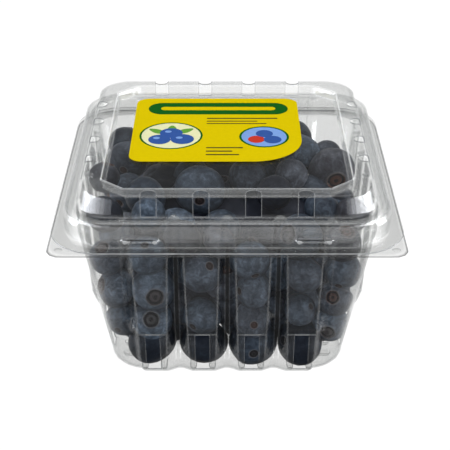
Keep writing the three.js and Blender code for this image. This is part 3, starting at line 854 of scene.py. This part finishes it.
# ------------------------------------------------------------------ label
def make_label():
    """A plain yellow label with a green field, ruled bars and a round of blue discs and leaves."""
    mats = [print_material("label_yellow", (0.53, 0.410, 0.002)),
            print_material("label_green", (0.008, 0.085, 0.010)),
            print_material("label_ink", (0.060, 0.052, 0.012)),
            print_material("label_blue", (0.030, 0.075, 0.26)),
            print_material("label_pale", (0.60, 0.60, 0.36)),
            print_material("label_leaf", (0.10, 0.26, 0.035)),
            print_material("label_light_blue", (0.16, 0.28, 0.56)),
            print_material("label_red", (0.42, 0.035, 0.022))]
    verts, faces, mat = [], [], []

    def plate(pts, z0, z1, m):
        """A flat closed plate from an outline of points that turn to the left."""
        base, n = len(verts), len(pts)
        verts.extend([(x, y, z0) for x, y in pts])
        verts.extend([(x, y, z1) for x, y in pts])
        faces.append(tuple(base + i for i in reversed(range(n))))
        faces.append(tuple(base + n + i for i in range(n)))
        mat.extend([m, m])
        for i in range(n):
            j = (i + 1) % n
            faces.append((base + i, base + j, base + n + j, base + n + i))
            mat.append(m)

    def arc(cx, cy, rx, ry, a0, a1, k):
        return [(cx + rx * math.cos(math.radians(a0 + (a1 - a0) * i / k)),
                 cy + ry * math.sin(math.radians(a0 + (a1 - a0) * i / k))) for i in range(k + 1)]

    def rounded(x0, y0, x1, y1, r):
        rs = r if isinstance(r, tuple) else (r,) * 4     # front left, front right, back right, back left
        return (arc(x0 + rs[0], y0 + rs[0], rs[0], rs[0], 180, 270, 8) + arc(x1 - rs[1], y0 + rs[1], rs[1], rs[1], 270, 360, 14)
                + arc(x1 - rs[2], y1 - rs[2], rs[2], rs[2], 0, 90, 8) + arc(x0 + rs[3], y1 - rs[3], rs[3], rs[3], 90, 180, 8))

    def disc(cx, cy, rx, ry=None, k=28):
        return arc(cx, cy, rx, ry or rx, 0, 360 - 360 / k, k - 1)

    top = 74.16
    plate(rounded(-36.5, -18, 28.5, 40.5, (5, 19, 5, 5)), 73.95, top, 0)
    lift = [top]

    def ink(pts, m, up=0.012):
        plate(pts, top - 0.03, lift[0] + up, m)

    ink(rounded(-31.5, 24.5, 24.5, 36.0, 5.6), 1)                       # green field
    ink(rounded(-26.5, 28.6, 19.5, 31.9, 1.6), 0, 0.024)                # plain stripe in it
    for y, x1, w in ((20.6, 12.0, 1.0), (17.9, 4.0, 0.8), (15.6, 7.5, 0.8)):
        ink(rounded(-8.0, y - w / 2, x1 + 8, y + w / 2, 0.35), 2)
    for y, x1, w in ((-6.4, 6.0, 1.0), (-9.4, 2.0, 1.0), (-12.4, 4.5, 1.0)):
        ink(rounded(-8.0, y - w / 2, x1, y + w / 2, 0.35), 2)
    # round of fruit and leaves at the left
    cx, cy = -21.5, 4.5
    ink(disc(cx, cy, 12.2), 1)
    ink(disc(cx, cy, 11.4), 4, 0.018)
    for x, y, a, l in ((-7.4, 5.2, 145, 6.0), (7.2, 5.6, 35, 6.0), (0.2, 8.3, 90, 4.6)):
        co, si = math.cos(math.radians(a)), math.sin(math.radians(a))
        leaf = []
        for i in range(20):
            t = 2 * math.pi * i / 20
            u, v = math.cos(t) * l * 0.55, math.sin(t) * 1.7 * (1 - 0.35 * math.cos(t))
            leaf.append((cx + x * 0.8 + u * co - v * si, cy + y * 0.8 + u * si + v * co))
        ink(leaf, 5, 0.024)
    for i, (x, y, r) in enumerate(((-4.3, -3.6, 4.3), (4.4, -3.3, 4.5), (0.0, 2.2, 4.4))):
        ink(disc(cx + x, cy + y, r), 3, 0.030 + 0.004 * i)
        ink(disc(cx + x - 1.2, cy + y + 1.3, 1.3, 1.0, 16), 6, 0.036 + 0.004 * i)
    # a second, plain band of colour at the right
    ink(disc(14.2, 3.4, 9.6), 1)
    ink(disc(14.2, 3.4, 8.7), 6, 0.018)
    for i, (x, y, r, m) in enumerate(((-3.0, -2.4, 3.2, 7), (3.2, -2.6, 3.4, 3), (0.2, 2.8, 3.3, 3))):
        ink(disc(14.2 + x, 3.4 + y, r), m, 0.026 + 0.004 * i)
    ob = make_object("label_print", np.array(verts), faces, mats, smooth=False)
    ob.data.polygons.foreach_set("material_index", np.array(mat, np.int32))
    return ob


# ------------------------------------------------------------------ berries
def inner_gap(s, z, q):
    """Inner face of the tray's wall, for packing: creased, so that a berry finds the flutes."""
    return wall_raw(s, np.clip(z, 3.6, 69.0), q) - 0.55


E = math.radians(29.09)          # how far the camera looks down


def facing(a, b, back=False):
    """A direction that meets the camera's view of a berry at (a, b) radii right of and above its middle."""
    c = math.sqrt(max(0.0, 1 - a * a - b * b)) * (-1 if back else 1)
    right, up, near = np.array([1, 0, 0]), np.array([0, math.sin(E), math.cos(E)]), np.array([0, -math.cos(E), math.sin(E)])
    return tuple(right * a + up * b + near * c)


# Berries that the walls show: x, y, z, radius, and where the crown points. The stem scar is opposite.
SEEN = [
    # front flutes, top to bottom
    (-27.4, -42.6, 34.2, 8.1, facing(0.12, -0.42)),
    (-28.9, -39.6, 17.4, 7.5, facing(-0.02, 0.05)),
    (-29.3, -39.3, 5.9, 9.4, (-0.6, 0.6, 0.5)),
    (-9.4, -43.3, 42.1, 7.8, facing(-0.45, -0.30, True)),
    (-9.3, -40.7, 20.7, 7.1, (0.6, 0.9, 0.3)),
    (-8.8, -39.5, 5.6, 9.0, (0.1, 0.7, 0.7)),
    (8.3, -44.2, 46.7, 7.2, (-0.3, 0.9, 0.5)),
    (9.5, -44.2, 35.3, 6.8, (0.9, 0.5, -0.2)),
    (9.5, -40.5, 18.3, 6.9, facing(-0.08, 0.30, True)),
    (9.7, -39.5, 5.5, 9.0, facing(-0.04, 0.52, True)),
    (27.5, -44.0, 41.5, 7.2, (0.8, 0.4, 0.8)),
    (26.8, -44.3, 26.2, 6.1, (-0.8, 0.5, -0.6)),
    (28.7, -39.4, 5.6, 9.0, (0.7, 0.4, -0.3)),
    # the corners beside them
    (-41.9, -41.3, 32.9, 7.4, facing(-0.86, 0.10)),
    (-39.6, -39.9, 17.0, 6.5, (0.3, 0.9, 0.3)),
    (43.0, -43.2, 41.9, 6.9, (0.3, 0.8, 0.6)),
    (40.8, -41.7, 28.9, 6.4, facing(-0.30, 0.10)),
    (41.0, -39.2, 13.3, 7.0, facing(-0.22, -0.52)),
    # under the lid
    (-48.1, -9.1, 62.5, 6.0, (0.3, 0.3, 0.9)),
    (-10.1, -17.5, 62.0, 9.3, facing(0.0, 0.50, True)),
    (-28.4, -35.5, 61.5, 6.2, (-0.5, 0.6, 0.7)),
    (25.4, 29.3, 61.3, 8.8, (0.2, 0.9, 0.5)),
    (39.2, 15.2, 61.2, 5.6, (0.2, 0.9, 0.3)),
    (42.0, -1.7, 62.0, 8.7, facing(0.16, -0.62)),
    (24.6, -9.1, 64.0, 6.2, (0.3, 0.8, 0.3)),
    (17.3, -23.5, 64.0, 6.6, (-0.3, 0.5, 0.7)),
    (8.0, -7.3, 62.0, 7.4, (0.5, 0.5, 0.5)),
    (29.1, 11.0, 63.2, 7.9, (-0.2, 0.7, 0.4)),
    (34.9, -31.5, 61.5, 6.4, (0.6, 0.3, 0.6)),
    (-40.2, 24.5, 60.8, 7.7, (0.6, 0.3, 0.8)),
    (-38.8, 8.0, 62.0, 7.4, (0.2, 0.9, 0.2)),
    (44.5, -33.6, 60.5, 6.4, (0.5, 0.8, 0.4)),
    (-30.5, -20.0, 60.5, 7.6, (0.5, 0.8, 0.3)),
    (-44.5, -33.0, 60.0, 6.8, (0.5, 0.9, 0.2)),
    (-38.0, -8.2, 56.5, 7.6, (0.5, 0.9, 0.2)),
    (33.5, -5.5, 56.0, 7.4, (-0.5, 0.9, 0.2)),
]
GAP = (8.8, -40.0, 59.0, 11.5)     # no berry's middle comes within this of the dark gap behind the third vent
SHRIVELLED = 16
# bloom of the ones that stand out: index, how much, hue
NOTED = {0: (0.95, 0.1), 1: (1.05, 0.0), 2: (0.14, 0.0), 5: (0.13, 0.0), 9: (0.34, 0.0), 12: (0.14, 0.0), 3: (0.85, 0.3), 4: (0.85, 0.1), 6: (0.8, 0.2),
         7: (1.0, 0.3), 10: (0.75, 0.4), 11: (0.6, 0.1), 14: (0.7, 0.1), 17: (1.0, 0.1), 8: (0.9, 0.5), 13: (1.0, 0.3), 15: (0.95, 0.2), 19: (0.75, 0.15), 20: (0.9, 0.0),
         21: (0.25, 0.0), 23: (0.70, 1.0), 29: (0.3, 0.1), 33: (0.25, 0.5), 28: (0.5, 0.1)}


def crest(x, y):
    """How high the heap's top may reach: full at the front and middle, lower at the back corners."""
    side = np.abs(x) / 50.0
    back = np.clip((y + 5) / 50.0, 0, 1)
    return 71.6 - 3.0 * side ** 3 - 7.5 * back ** 1.5 - 8.0 * back * side ** 2


def pack_berries():
    """Real berries settled in the tray: the seen ones hold their place, the rest press in."""
    rng = np.random.default_rng(7)
    seen = np.array([a[:4] for a in SEEN], float)
    p, r = [], []
    z = 10.0
    layer = 0
    while z < 67:
        half = 37.5 + 0.11 * z
        step = 14.3
        k = int(2 * half // step) + 1
        xs = np.linspace(-half, half, k) if layer % 2 == 0 else np.linspace(-half + step / 2, half - step / 2, k - 1)
        for x in xs:
            for y in xs:
                p.append([x + rng.normal(0, 1.2), y + rng.normal(0, 1.2), z + rng.normal(0, 1.0)])
                r.append(float(np.clip(rng.normal(7.25, 0.72), 5.9, 8.8)))
        z += 11.4
        layer += 1
    p, r = np.array(p), np.array(r)
    keep = np.ones(len(p), bool)
    for a in seen:
        keep &= np.linalg.norm(p - a[:3], axis=1) > 0.62 * (r + a[3])
    keep &= np.linalg.norm(p - np.array(GAP[:3]), axis=1) > GAP[3]
    p, r = p[keep], r[keep]
    p = np.vstack([seen[:, :3], p])
    r = np.r_[seen[:, 3], r]
    fixed = np.zeros(len(p), bool)
    fixed[:len(seen)] = True
    home = p.copy()

    offs = [(a, b) for a in (-0.8, -0.4, 0, 0.4, 0.8) for b in (-0.8, -0.4, 0, 0.4, 0.8) if a * a + b * b < 0.9]
    steps = 260
    for it in range(steps):
        # neighbours push each other apart
        d = p[:, None, :] - p[None, :, :]
        dist = np.sqrt((d ** 2).sum(2)) + 1e-9
        want = (r[:, None] + r[None, :]) * 0.985
        over = np.maximum(want - dist, 0)
        np.fill_diagonal(over, 0)
        push = (d / dist[:, :, None] * over[:, :, None] * 0.42)
        w = np.where(fixed, 0.12, 1.0)
        share = w[:, None] / (w[:, None] + w[None, :])
        p = p + (push * share[:, :, None] * 1.3).sum(1) * np.where(fixed, 0.5, 1.0)[:, None]
        if it < steps - 60:
            p[~fixed, 2] -= 0.05
        # the wall, side by side
        for q in range(4):
            local = rotated(p[:, :2], (4 - q) % 4)
            s, n = local[:, 0].copy(), -local[:, 1].copy()
            worst = np.full(len(p), -1e9)
            dirs = np.zeros((len(p), 3))
            for a, b in offs:
                ds, dz = a * r, b * r
                reach = np.sqrt(np.maximum(r * r - ds * ds - dz * dz, 0))
                gap = n + reach - inner_gap(s + ds, p[:, 2] + dz, q)
                better = gap > worst
                worst = np.where(better, gap, worst)
                nd = np.c_[ds, reach, dz] / r[:, None]
                dirs = np.where(better[:, None], nd, dirs)
            pen = np.maximum(worst, 0)
            s -= dirs[:, 0] * pen * 0.5
            n -= pen * np.maximum(dirs[:, 1], 0.5)
            xy = rotated(np.c_[s, -n], q)
            p[:, :2] = xy
            p[:, 2] -= dirs[:, 2] * pen * 0.3
        p[:, 2] = np.maximum(p[:, 2], -0.25 + r * 0.94)
        top = crest(p[:, 0], p[:, 1])
        top = np.where(fixed, np.maximum(top, home[:, 2] + r), top)
        p[:, 2] = np.minimum(p[:, 2], top - r)
        # above the tray's wall they keep clear of the dome
        lim = 52.3 - r
        high = p[:, 2] > 61
        p[:, 0] = np.where(high, np.clip(p[:, 0], -lim, lim), p[:, 0])
        p[:, 1] = np.where(high, np.clip(p[:, 1], -lim, lim), p[:, 1])
        d = p - np.array(GAP[:3])
        far = np.linalg.norm(d, axis=1, keepdims=True) + 1e-9
        near = (far < GAP[3]) & ~fixed[:, None]
        p = np.where(near, p + d / far * (GAP[3] - far) * 0.5, p)
        p[fixed] = p[fixed] * 0.8 + home[fixed] * 0.2
        p = np.round(p, 7)
    return p, r, fixed


def berry_template(n_lon, crown, scar, seed, wrinkle=0.0):
    """A unit berry with its crown up: rows from the crown's middle to the stem scar."""
    rng = np.random.default_rng(seed)
    lon = 2 * np.pi * np.arange(n_lon) / n_lon
    # rows: (share of radius out from the axis, lift, crown mask) near the crown, then latitudes
    rows = []
    if crown:
        for rho, lift, mask in ((0.04, -0.080, 1.0), (0.085, -0.074, .95), (0.125, -0.060, .74), (0.19, -0.056, .68), (0.235, -0.078, .80),
                                (0.275, -0.105, 1.0), (0.335, -0.085, 1.0), (0.368, -0.020, .74), (0.390, 0.026, .50), (0.410, 0.038, .42),
                                (0.44, 0.022, .22), (0.48, 0.003, .06), (0.54, 0.0, 0)):
            rows.append((rho, lift, mask, 1))
        start = math.asin(0.54)
    else:
        rows += [(0.10, 0, 0, 1), (0.24, 0, 0, 1)]
        start = math.asin(0.24)
    end = math.pi - math.asin(0.30)
    k = 11 if n_lon > 20 else 7
    for i in range(1, k + 1):
        rows.append((start + (end - start) * i / k, 0, 0, 0))
    if scar:
        for rho, lift, mask in ((0.25, -0.004, .0), (0.205, -0.006, .42), (0.175, -0.030, .75), (0.145, -0.055, .97), (0.115, -0.040, .90),
                                (0.07, -0.030, .80), (0.03, -0.032, .84)):
            rows.append((rho, lift, mask, -1))
    else:
        rows += [(0.15, 0, 0, -1)]
    pts, masks = [], []
    lobe = np.cos(5 * lon + rng.uniform(0, 6))
    jag = rng.uniform(-1, 1, n_lon)
    for a, lift, mask, kind in rows:
        if kind == 0:
            rho, h = math.sin(a) * np.ones(n_lon), math.cos(a) * np.ones(n_lon)
            out = 1 + 0 * lon
        else:
            rho = a * np.ones(n_lon)
            if kind == 1 and 0.36 < a < 0.45:
                rho = rho + 0.011 * lobe + 0.006 * jag
                l = lift * (0.70 + 0.42 * lobe + 0.2 * jag)
            else:
                l = lift * np.ones(n_lon)
            h = kind * (np.sqrt(1 - rho ** 2) + l)
            out = 1
        pts.append(np.c_[rho * np.cos(lon), rho * np.sin(lon), h])
        masks.append(np.full(n_lon, mask, float))
    top = 1 - (0.062 if crown else 0)
    bottom = -(1 - (0.032 if scar else 0))
    v = np.vstack([*pts, [[0, 0, top], [0, 0, bottom]]])
    masks = np.r_[np.concatenate(masks), 1.0 if crown else 0.0, 1.0 if scar else 0.0]
    # the angle from the crown, used by the wrinkles below
    polar = np.arccos(np.clip(v[:, 2] / np.linalg.norm(v, axis=1), -1, 1))
    # gentle unevenness
    u = v / np.linalg.norm(v, axis=1, keepdims=True)
    amp = 0.0
    for _ in range(4):
        ax = rng.normal(size=3)
        ax /= np.linalg.norm(ax)
        amp = amp + rng.uniform(-0.012, 0.012) * np.cos(rng.uniform(1.5, 3.2) * np.pi * (u @ ax) + rng.uniform(0, 6))
    v = v * (1 + amp)[:, None]
    if wrinkle:
        t = np.arctan2(v[:, 1], v[:, 0])
        fold = np.abs(np.sin(3.5 * t + 2.2 * polar)) ** 0.6 * np.sin(polar) ** 0.8
        dent = np.exp(-((u @ np.array([0.75, -0.62, 0.15]) - 1) / 0.16) ** 2)
        v = v * (1 - wrinkle * (1 - fold) * 0.55 - wrinkle * 1.9 * dent)[:, None]
    m = len(rows)
    faces = []
    c0, c1 = m * n_lon, m * n_lon + 1
    for j in range(n_lon):
        k = (j + 1) % n_lon
        faces.append((c0, j, k))
        for i in range(m - 1):
            faces.append((i * n_lon + j, (i + 1) * n_lon + j, (i + 1) * n_lon + k))
            faces.append((i * n_lon + j, (i + 1) * n_lon + k, i * n_lon + k))
        faces.append((c1, (m - 1) * n_lon + k, (m - 1) * n_lon + j))
    return v, np.array(faces), masks


def aim(direction, spin):
    z = np.array(direction, float)
    z /= np.linalg.norm(z)
    x = np.cross([0.3, 0.2, 1.0] if abs(z[2]) < 0.9 else [1.0, 0, 0.2], z)
    x /= np.linalg.norm(x)
    y = np.cross(z, x)
    co, si = math.cos(spin), math.sin(spin)
    return np.array([x * co + y * si, -x * si + y * co, z]).T


def make_berries():
    p, r, fixed = pack_berries()
    rng = np.random.default_rng(21)
    # only the outer ones are seen: the core stands for the rest
    depth = np.full(len(p), 1e9)
    for q in range(4):
        local = rotated(p[:, :2], (4 - q) % 4)
        depth = np.minimum(depth, inner_gap(local[:, 0], p[:, 2], q) + local[:, 1])
    depth = np.minimum(depth, p[:, 2] + 0.7)
    depth = np.minimum(depth, crest(p[:, 0], p[:, 1]) - p[:, 2])
    shown = (depth < 20.5) | fixed
    templates = [berry_template(25, True, True, 100 + i) for i in range(6)]
    coarse = [berry_template(16, True, False, 300 + i) for i in range(3)]
    old = berry_template(30, True, True, 500, wrinkle=0.16)
    all_v, all_f, all_look, at = [], [], [], 0
    for i in np.flatnonzero(shown):
        near = depth[i] < 12.5 or fixed[i]
        if i == SHRIVELLED:
            v, f, mask = old
        else:
            group = templates if near else coarse
            v, f, mask = group[i % len(group)]
        flat = rng.uniform(0.84, 0.95)
        wide = rng.uniform(0.97, 1.03)
        if fixed[i]:
            d = SEEN[i][4]
        else:
            d = rng.normal(size=3)
        m = aim(d, rng.uniform(0, 6.28))
        grow = r[i] * (1 + (1 - flat) * 0.30)
        pts = (v * np.array([grow * wide, grow / wide, grow * flat])) @ m.T + p[i]
        # soft fruit gives way where it presses on the wall or the base
        inset = np.interp(pts[:, 2], [-1.9, -1.3, -0.6, 0.25, 1.3, 3.6], [3.5, 1.95, 1.3, 0.78, 0.4, 0.0])
        for q in range(4):
            local = rotated(pts[:, :2], (4 - q) % 4)
            s, n = local[:, 0], -local[:, 1]
            lim = np.where(pts[:, 2] < 68.8, wall_raw(s, np.clip(pts[:, 2], 3.6, 69.0), q) - 0.62 - inset, 51.9)
            over = n - lim
            n = np.where(over > -0.8, np.minimum(n, lim - 0.8 + 0.8 * np.tanh(np.maximum(over + 0.8, 0) / 0.8)), n)
            pts[:, :2] = rotated(np.c_[s, -n], q)
        pts[:, 2] = np.where(pts[:, 2] < -0.3, -1.25 + 0.95 * np.exp((pts[:, 2] + 0.3) / 0.95), pts[:, 2])
        pts[:, 2] = np.minimum(pts[:, 2], 72.9)
        all_v.append(pts)
        all_f.append(f + at)
        at += len(pts)
        bloom = float(np.clip(rng.normal(0.68, 0.28), 0.10, 1.15))
        hue = float(rng.uniform(0, 1) ** 1.6)
        if i in NOTED:
            bloom, hue = NOTED[i]
        elif not fixed[i] and p[i, 1] < -34 and 56 < p[i, 2] < 70 and min(abs(p[i, 0] + 17), abs(p[i, 0])) < 6:
            bloom, hue = 0.10, 0.0          # deep in shadow under the lid's ledge
        all_look.append(np.c_[np.full(len(pts), bloom), np.full(len(pts), hue), mask, np.ones(len(pts))])
    v = np.vstack(all_v)
    f = np.vstack(all_f)
    look = np.vstack(all_look)
    ob = triangles("berry_heap", v, f, [berry_material()])
    attr = ob.data.color_attributes.new("look", "FLOAT_COLOR", "POINT")
    attr.data.foreach_set("color", look.astype(np.float32).ravel())
    return ob, p[~shown], r[~shown]


def triangles(name, v, f, mats):
    me = bpy.data.meshes.new(name)
    co = np.array(v, float)
    co[:, 2] += FOOT
    me.vertices.add(len(co))
    me.vertices.foreach_set("co", (co * MM).astype(np.float32).ravel())
    me.loops.add(len(f) * 3)
    me.loops.foreach_set("vertex_index", np.asarray(f, np.int32).ravel())
    me.polygons.add(len(f))
    me.polygons.foreach_set("loop_start", np.arange(len(f), dtype=np.int32) * 3)
    me.polygons.foreach_set("use_smooth", np.ones(len(f), bool))
    me.update(calc_edges=True)
    me.validate()
    for m in mats:
        me.materials.append(m)
    ob = bpy.data.objects.new(name, me)
    scene.collection.objects.link(ob)
    return ob


def make_core():
    """The dark middle of the heap, lumpy as the berries that it stands for."""
    rng = np.random.default_rng(5)
    centres = []
    for z in np.arange(16, 54, 11.5):
        for x in np.arange(-27, 28, 13.5):
            for y in np.arange(-27, 28, 13.5):
                if max(abs(x), abs(y)) > 20 or z < 20 or z > 45:
                    centres.append((x + rng.normal(0, 1), y + rng.normal(0, 1), z + rng.normal(0, 1)))
    centres = np.array(centres)
    nu, nv = 96, 56
    pts = []
    mid = np.array([0, 0, 33.0])
    for i in range(1, nv):
        th = math.pi * i / nv
        for j in range(nu):
            ph = 2 * math.pi * j / nu
            d = np.array([math.sin(th) * math.cos(ph), math.sin(th) * math.sin(ph), math.cos(th)])
            box = ((abs(d[0]) / 31.0) ** 5 + (abs(d[1]) / 31.0) ** 5 + (abs(d[2]) / 22.5) ** 5) ** (-1 / 5)
            rel = centres - mid
            along = rel @ d
            off2 = (rel ** 2).sum(1) - along ** 2
            hit = np.where((off2 < 49) & (along > 0), along + np.sqrt(np.maximum(49 - off2, 0)), 0).max()
            pts.append(mid + d * max(box, min(hit, box + 3.0)))
    v = np.array(pts + [mid + [0, 0, 24.0], mid - [0, 0, 24.0]])
    f = []
    for i in range(nv - 2):
        for j in range(nu):
            k = (j + 1) % nu
            f.append((i * nu + j, (i + 1) * nu + j, (i + 1) * nu + k))
            f.append((i * nu + j, (i + 1) * nu + k, i * nu + k))
    a, b = len(v) - 2, len(v) - 1
    for j in range(nu):
        k = (j + 1) % nu
        f.append((a, j, k))
        f.append((b, (nv - 2) * nu + k, (nv - 2) * nu + j))
    return triangles("berry_core", v, np.array(f), [core_material()])


# ------------------------------------------------------------------ build and tie to the frame
tray = make_tray()
lid = make_lid()
label = make_label()
berries, _, _ = make_berries()
core = make_core()

for piece, body, slot, nodes in ((tray, "tray", "clear_tray", ("tray_front", "tray_right", "tray_back", "tray_left")), (berries, "tray", "blueberry", ("berries",)),
                                 (core, "tray", "blueberry", ("berries",)), (lid, "lid", "clear_lid", ("lid",)),
                                 (label, "lid", "label_print", ("label",))):
    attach(piece, body)
    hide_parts(*nodes)


# ------------------------------------------------------------------ stage, light, camera
FLOOR_GLOW, FLOOR_TONE = 0.99, 0.05


def make_stage():
    m, nt = new_material("floor")
    out = node(nt, "ShaderNodeOutputMaterial")
    add = node(nt, "ShaderNodeAddShader")
    bsdf = node(nt, "ShaderNodeBsdfDiffuse")
    bsdf.inputs["Color"].default_value = (FLOOR_TONE, FLOOR_TONE, FLOOR_TONE, 1)
    glow = node(nt, "ShaderNodeEmission", Strength=FLOOR_GLOW)
    nt.links.new(bsdf.outputs[0], add.inputs[0])
    nt.links.new(glow.outputs[0], add.inputs[1])
    nt.links.new(add.outputs[0], out.inputs["Surface"])
    me = bpy.data.meshes.new("floor")
    h = 3.0
    me.from_pydata([(-h, -h, -0.0002), (h, -h, -0.0002), (h, h, -0.0002), (-h, h, -0.0002)], [], [(0, 1, 2, 3)])
    me.materials.append(m)
    ob = bpy.data.objects.new("floor", me)
    scene.collection.objects.link(ob)
    ob.visible_glossy = False            # gloss sees the studio round the table, not the lit table top
    ob.visible_shadow = ob.visible_diffuse = False

    w = bpy.data.worlds.new("studio")
    scene.world = w
    w.cycles_visibility.diffuse = False   # what the film mirrors doesn't light the fruit: the softboxes do
    w.use_nodes = True
    nt = w.node_tree
    nt.nodes.clear()
    out = nt.nodes.new("ShaderNodeOutputWorld")
    bg = nt.nodes.new("ShaderNodeBackground")
    coord = nt.nodes.new("ShaderNodeTexCoord")
    sep = nt.nodes.new("ShaderNodeSeparateXYZ")
    nt.links.new(coord.outputs["Generated"], sep.inputs[0])
    x, y, z = sep.outputs
    side = math_node(nt, "ABSOLUTE", x)
    half_z = math_node(nt, "MULTIPLY_ADD", z, 0.5, 0.5)
    half_y = math_node(nt, "MULTIPLY_ADD", y, 0.5, 0.5)
    # by height, from straight down to straight up: before the pack, behind it, and at its sides
    front = ramp(nt, half_z, [(0.0, grey(0.12)), (0.125, grey(0.20)), (0.21, grey(0.22)), (0.265, grey(0.80)), (0.31, grey(1.10)), (0.38, grey(0.75)),
                              (0.45, grey(0.10)), (0.52, grey(0.045)), (0.66, grey(0.10)), (0.75, grey(0.20)), (0.85, grey(0.40)), (1.0, grey(1.1))])
    back = ramp(nt, half_z, [(0.0, grey(0.30)), (0.20, grey(0.85)), (0.35, grey(1.0)), (0.55, grey(0.95)), (0.65, grey(0.45)), (0.72, grey(0.10)),
                             (0.78, grey(0.11)), (0.88, grey(0.30)), (1.0, grey(0.8))])
    flank = ramp(nt, half_z, [(0.0, grey(0.35)), (0.14, grey(0.5)), (0.25, grey(0.66)), (0.34, grey(0.90)), (0.50, grey(0.95)), (0.66, grey(0.30)), (0.82, grey(0.34)), (1.0, grey(1.1))])
    turn = ramp(nt, side, [(0.26, grey(0.0)), (0.58, grey(1.0))])
    col = mix_colour(nt, turn, front, flank)
    rear = ramp(nt, half_y, [(0.48, grey(0.0)), (0.62, grey(1.0))])
    col = mix_colour(nt, rear, col, back)
    nt.links.new(col, bg.inputs[0])
    nt.links.new(bg.outputs[0], out.inputs[0])


def area(name, at, aim_at, sx, sy, power, colour=(1, 1, 1), gloss=True, diffuse=True):
    data = bpy.data.lights.new(name, "AREA")
    data.shape = "RECTANGLE"
    data.size, data.size_y = sx, sy
    data.energy = power
    data.color = colour
    ob = bpy.data.objects.new(name, data)
    ob.location = at
    ob.rotation_mode = "QUATERNION"
    ob.rotation_quaternion = (Vector(aim_at) - Vector(at)).to_track_quat("-Z", "Y")
    ob.visible_glossy, ob.visible_diffuse = gloss, diffuse
    scene.collection.objects.link(ob)
    return ob


def flank_box(name, sign, bearing, far, z, sx, sy, radiance, colour):
    """A softbox that the dome's front corners mirror, at a bearing from straight in front."""
    a = math.radians(bearing)
    at = (sign * far * math.sin(a), -far * math.cos(a), z)
    return area(name, at, (0, 0, 0.07), sx, sy, radiance * math.pi * sx * sy, colour, diffuse=False)


make_stage()
area("top_softbox", (0.0, 0.05, 1.25), (0, 0, 0.03), 1.2, 1.2, 15.0, gloss=False)
area("front_fill", (0.0, -1.15, 0.65), (0, 0, 0.04), 0.7, 0.5, 9.0, gloss=False)
area("back_fill", (0.0, 1.2, 0.7), (0, 0, 0.04), 0.7, 0.5, 6.0, gloss=False)
area("left_fill", (-0.9, -0.35, 0.35), (0, 0, 0.05), 0.6, 0.5, 3.6, gloss=False)
area("right_fill", (0.9, -0.35, 0.35), (0, 0, 0.05), 0.6, 0.5, 3.2, gloss=False)
# nested softboxes, brighter to the side, give the dome's corners their soft-edged highlights
for side, sign, tone, steps in (("left", -1, (0.90, 0.93, 1.0), ((8, 108, 1.0), (27, 108, 0.8), (40, 108, 1.4), (52, 104, 2.4), (64, 94, 1.8))),
                                ("right", 1, (0.95, 0.97, 1.0), ((15, 108, 0.7), (30, 108, 1.2), (43, 108, 2.6), (58, 102, 3.0), (72, 94, 2.0)))):
    for i, (b0, b1, radiance) in enumerate(steps):
        flank_box(f"{side}_softbox_{i}", sign, (b0 + b1) / 2, 1.0, -0.01, 2 * math.tan(math.radians((b1 - b0) / 2)), 0.38, radiance, tone)

cam_data = bpy.data.cameras.new("camera")
cam_data.lens = 95.896
cam_data.sensor_width = 36.0
cam_data.sensor_fit = "AUTO"
cam_data.clip_start, cam_data.clip_end = 0.02, 20.0
cam = bpy.data.objects.new("camera", cam_data)
D = 475.47
cam.location = (-0.78 * MM, (0.8 - D * math.cos(E)) * MM, (36.86 + FOOT + D * math.sin(E)) * MM)
cam.rotation_euler = (math.pi / 2 - E, 0, 0)
scene.collection.objects.link(cam)
scene.camera = cam

scene.view_settings.view_transform = "Standard"
scene.view_settings.look = "None"
scene.cycles.transparent_max_bounces = 48
scene.cycles.max_bounces = 16
scene.cycles.glossy_bounces = 6

for piece in (tray, lid, label, berries, core):
    print("TRIANGLES", piece.name, sum(len(f.vertices) - 2 for f in piece.data.polygons))
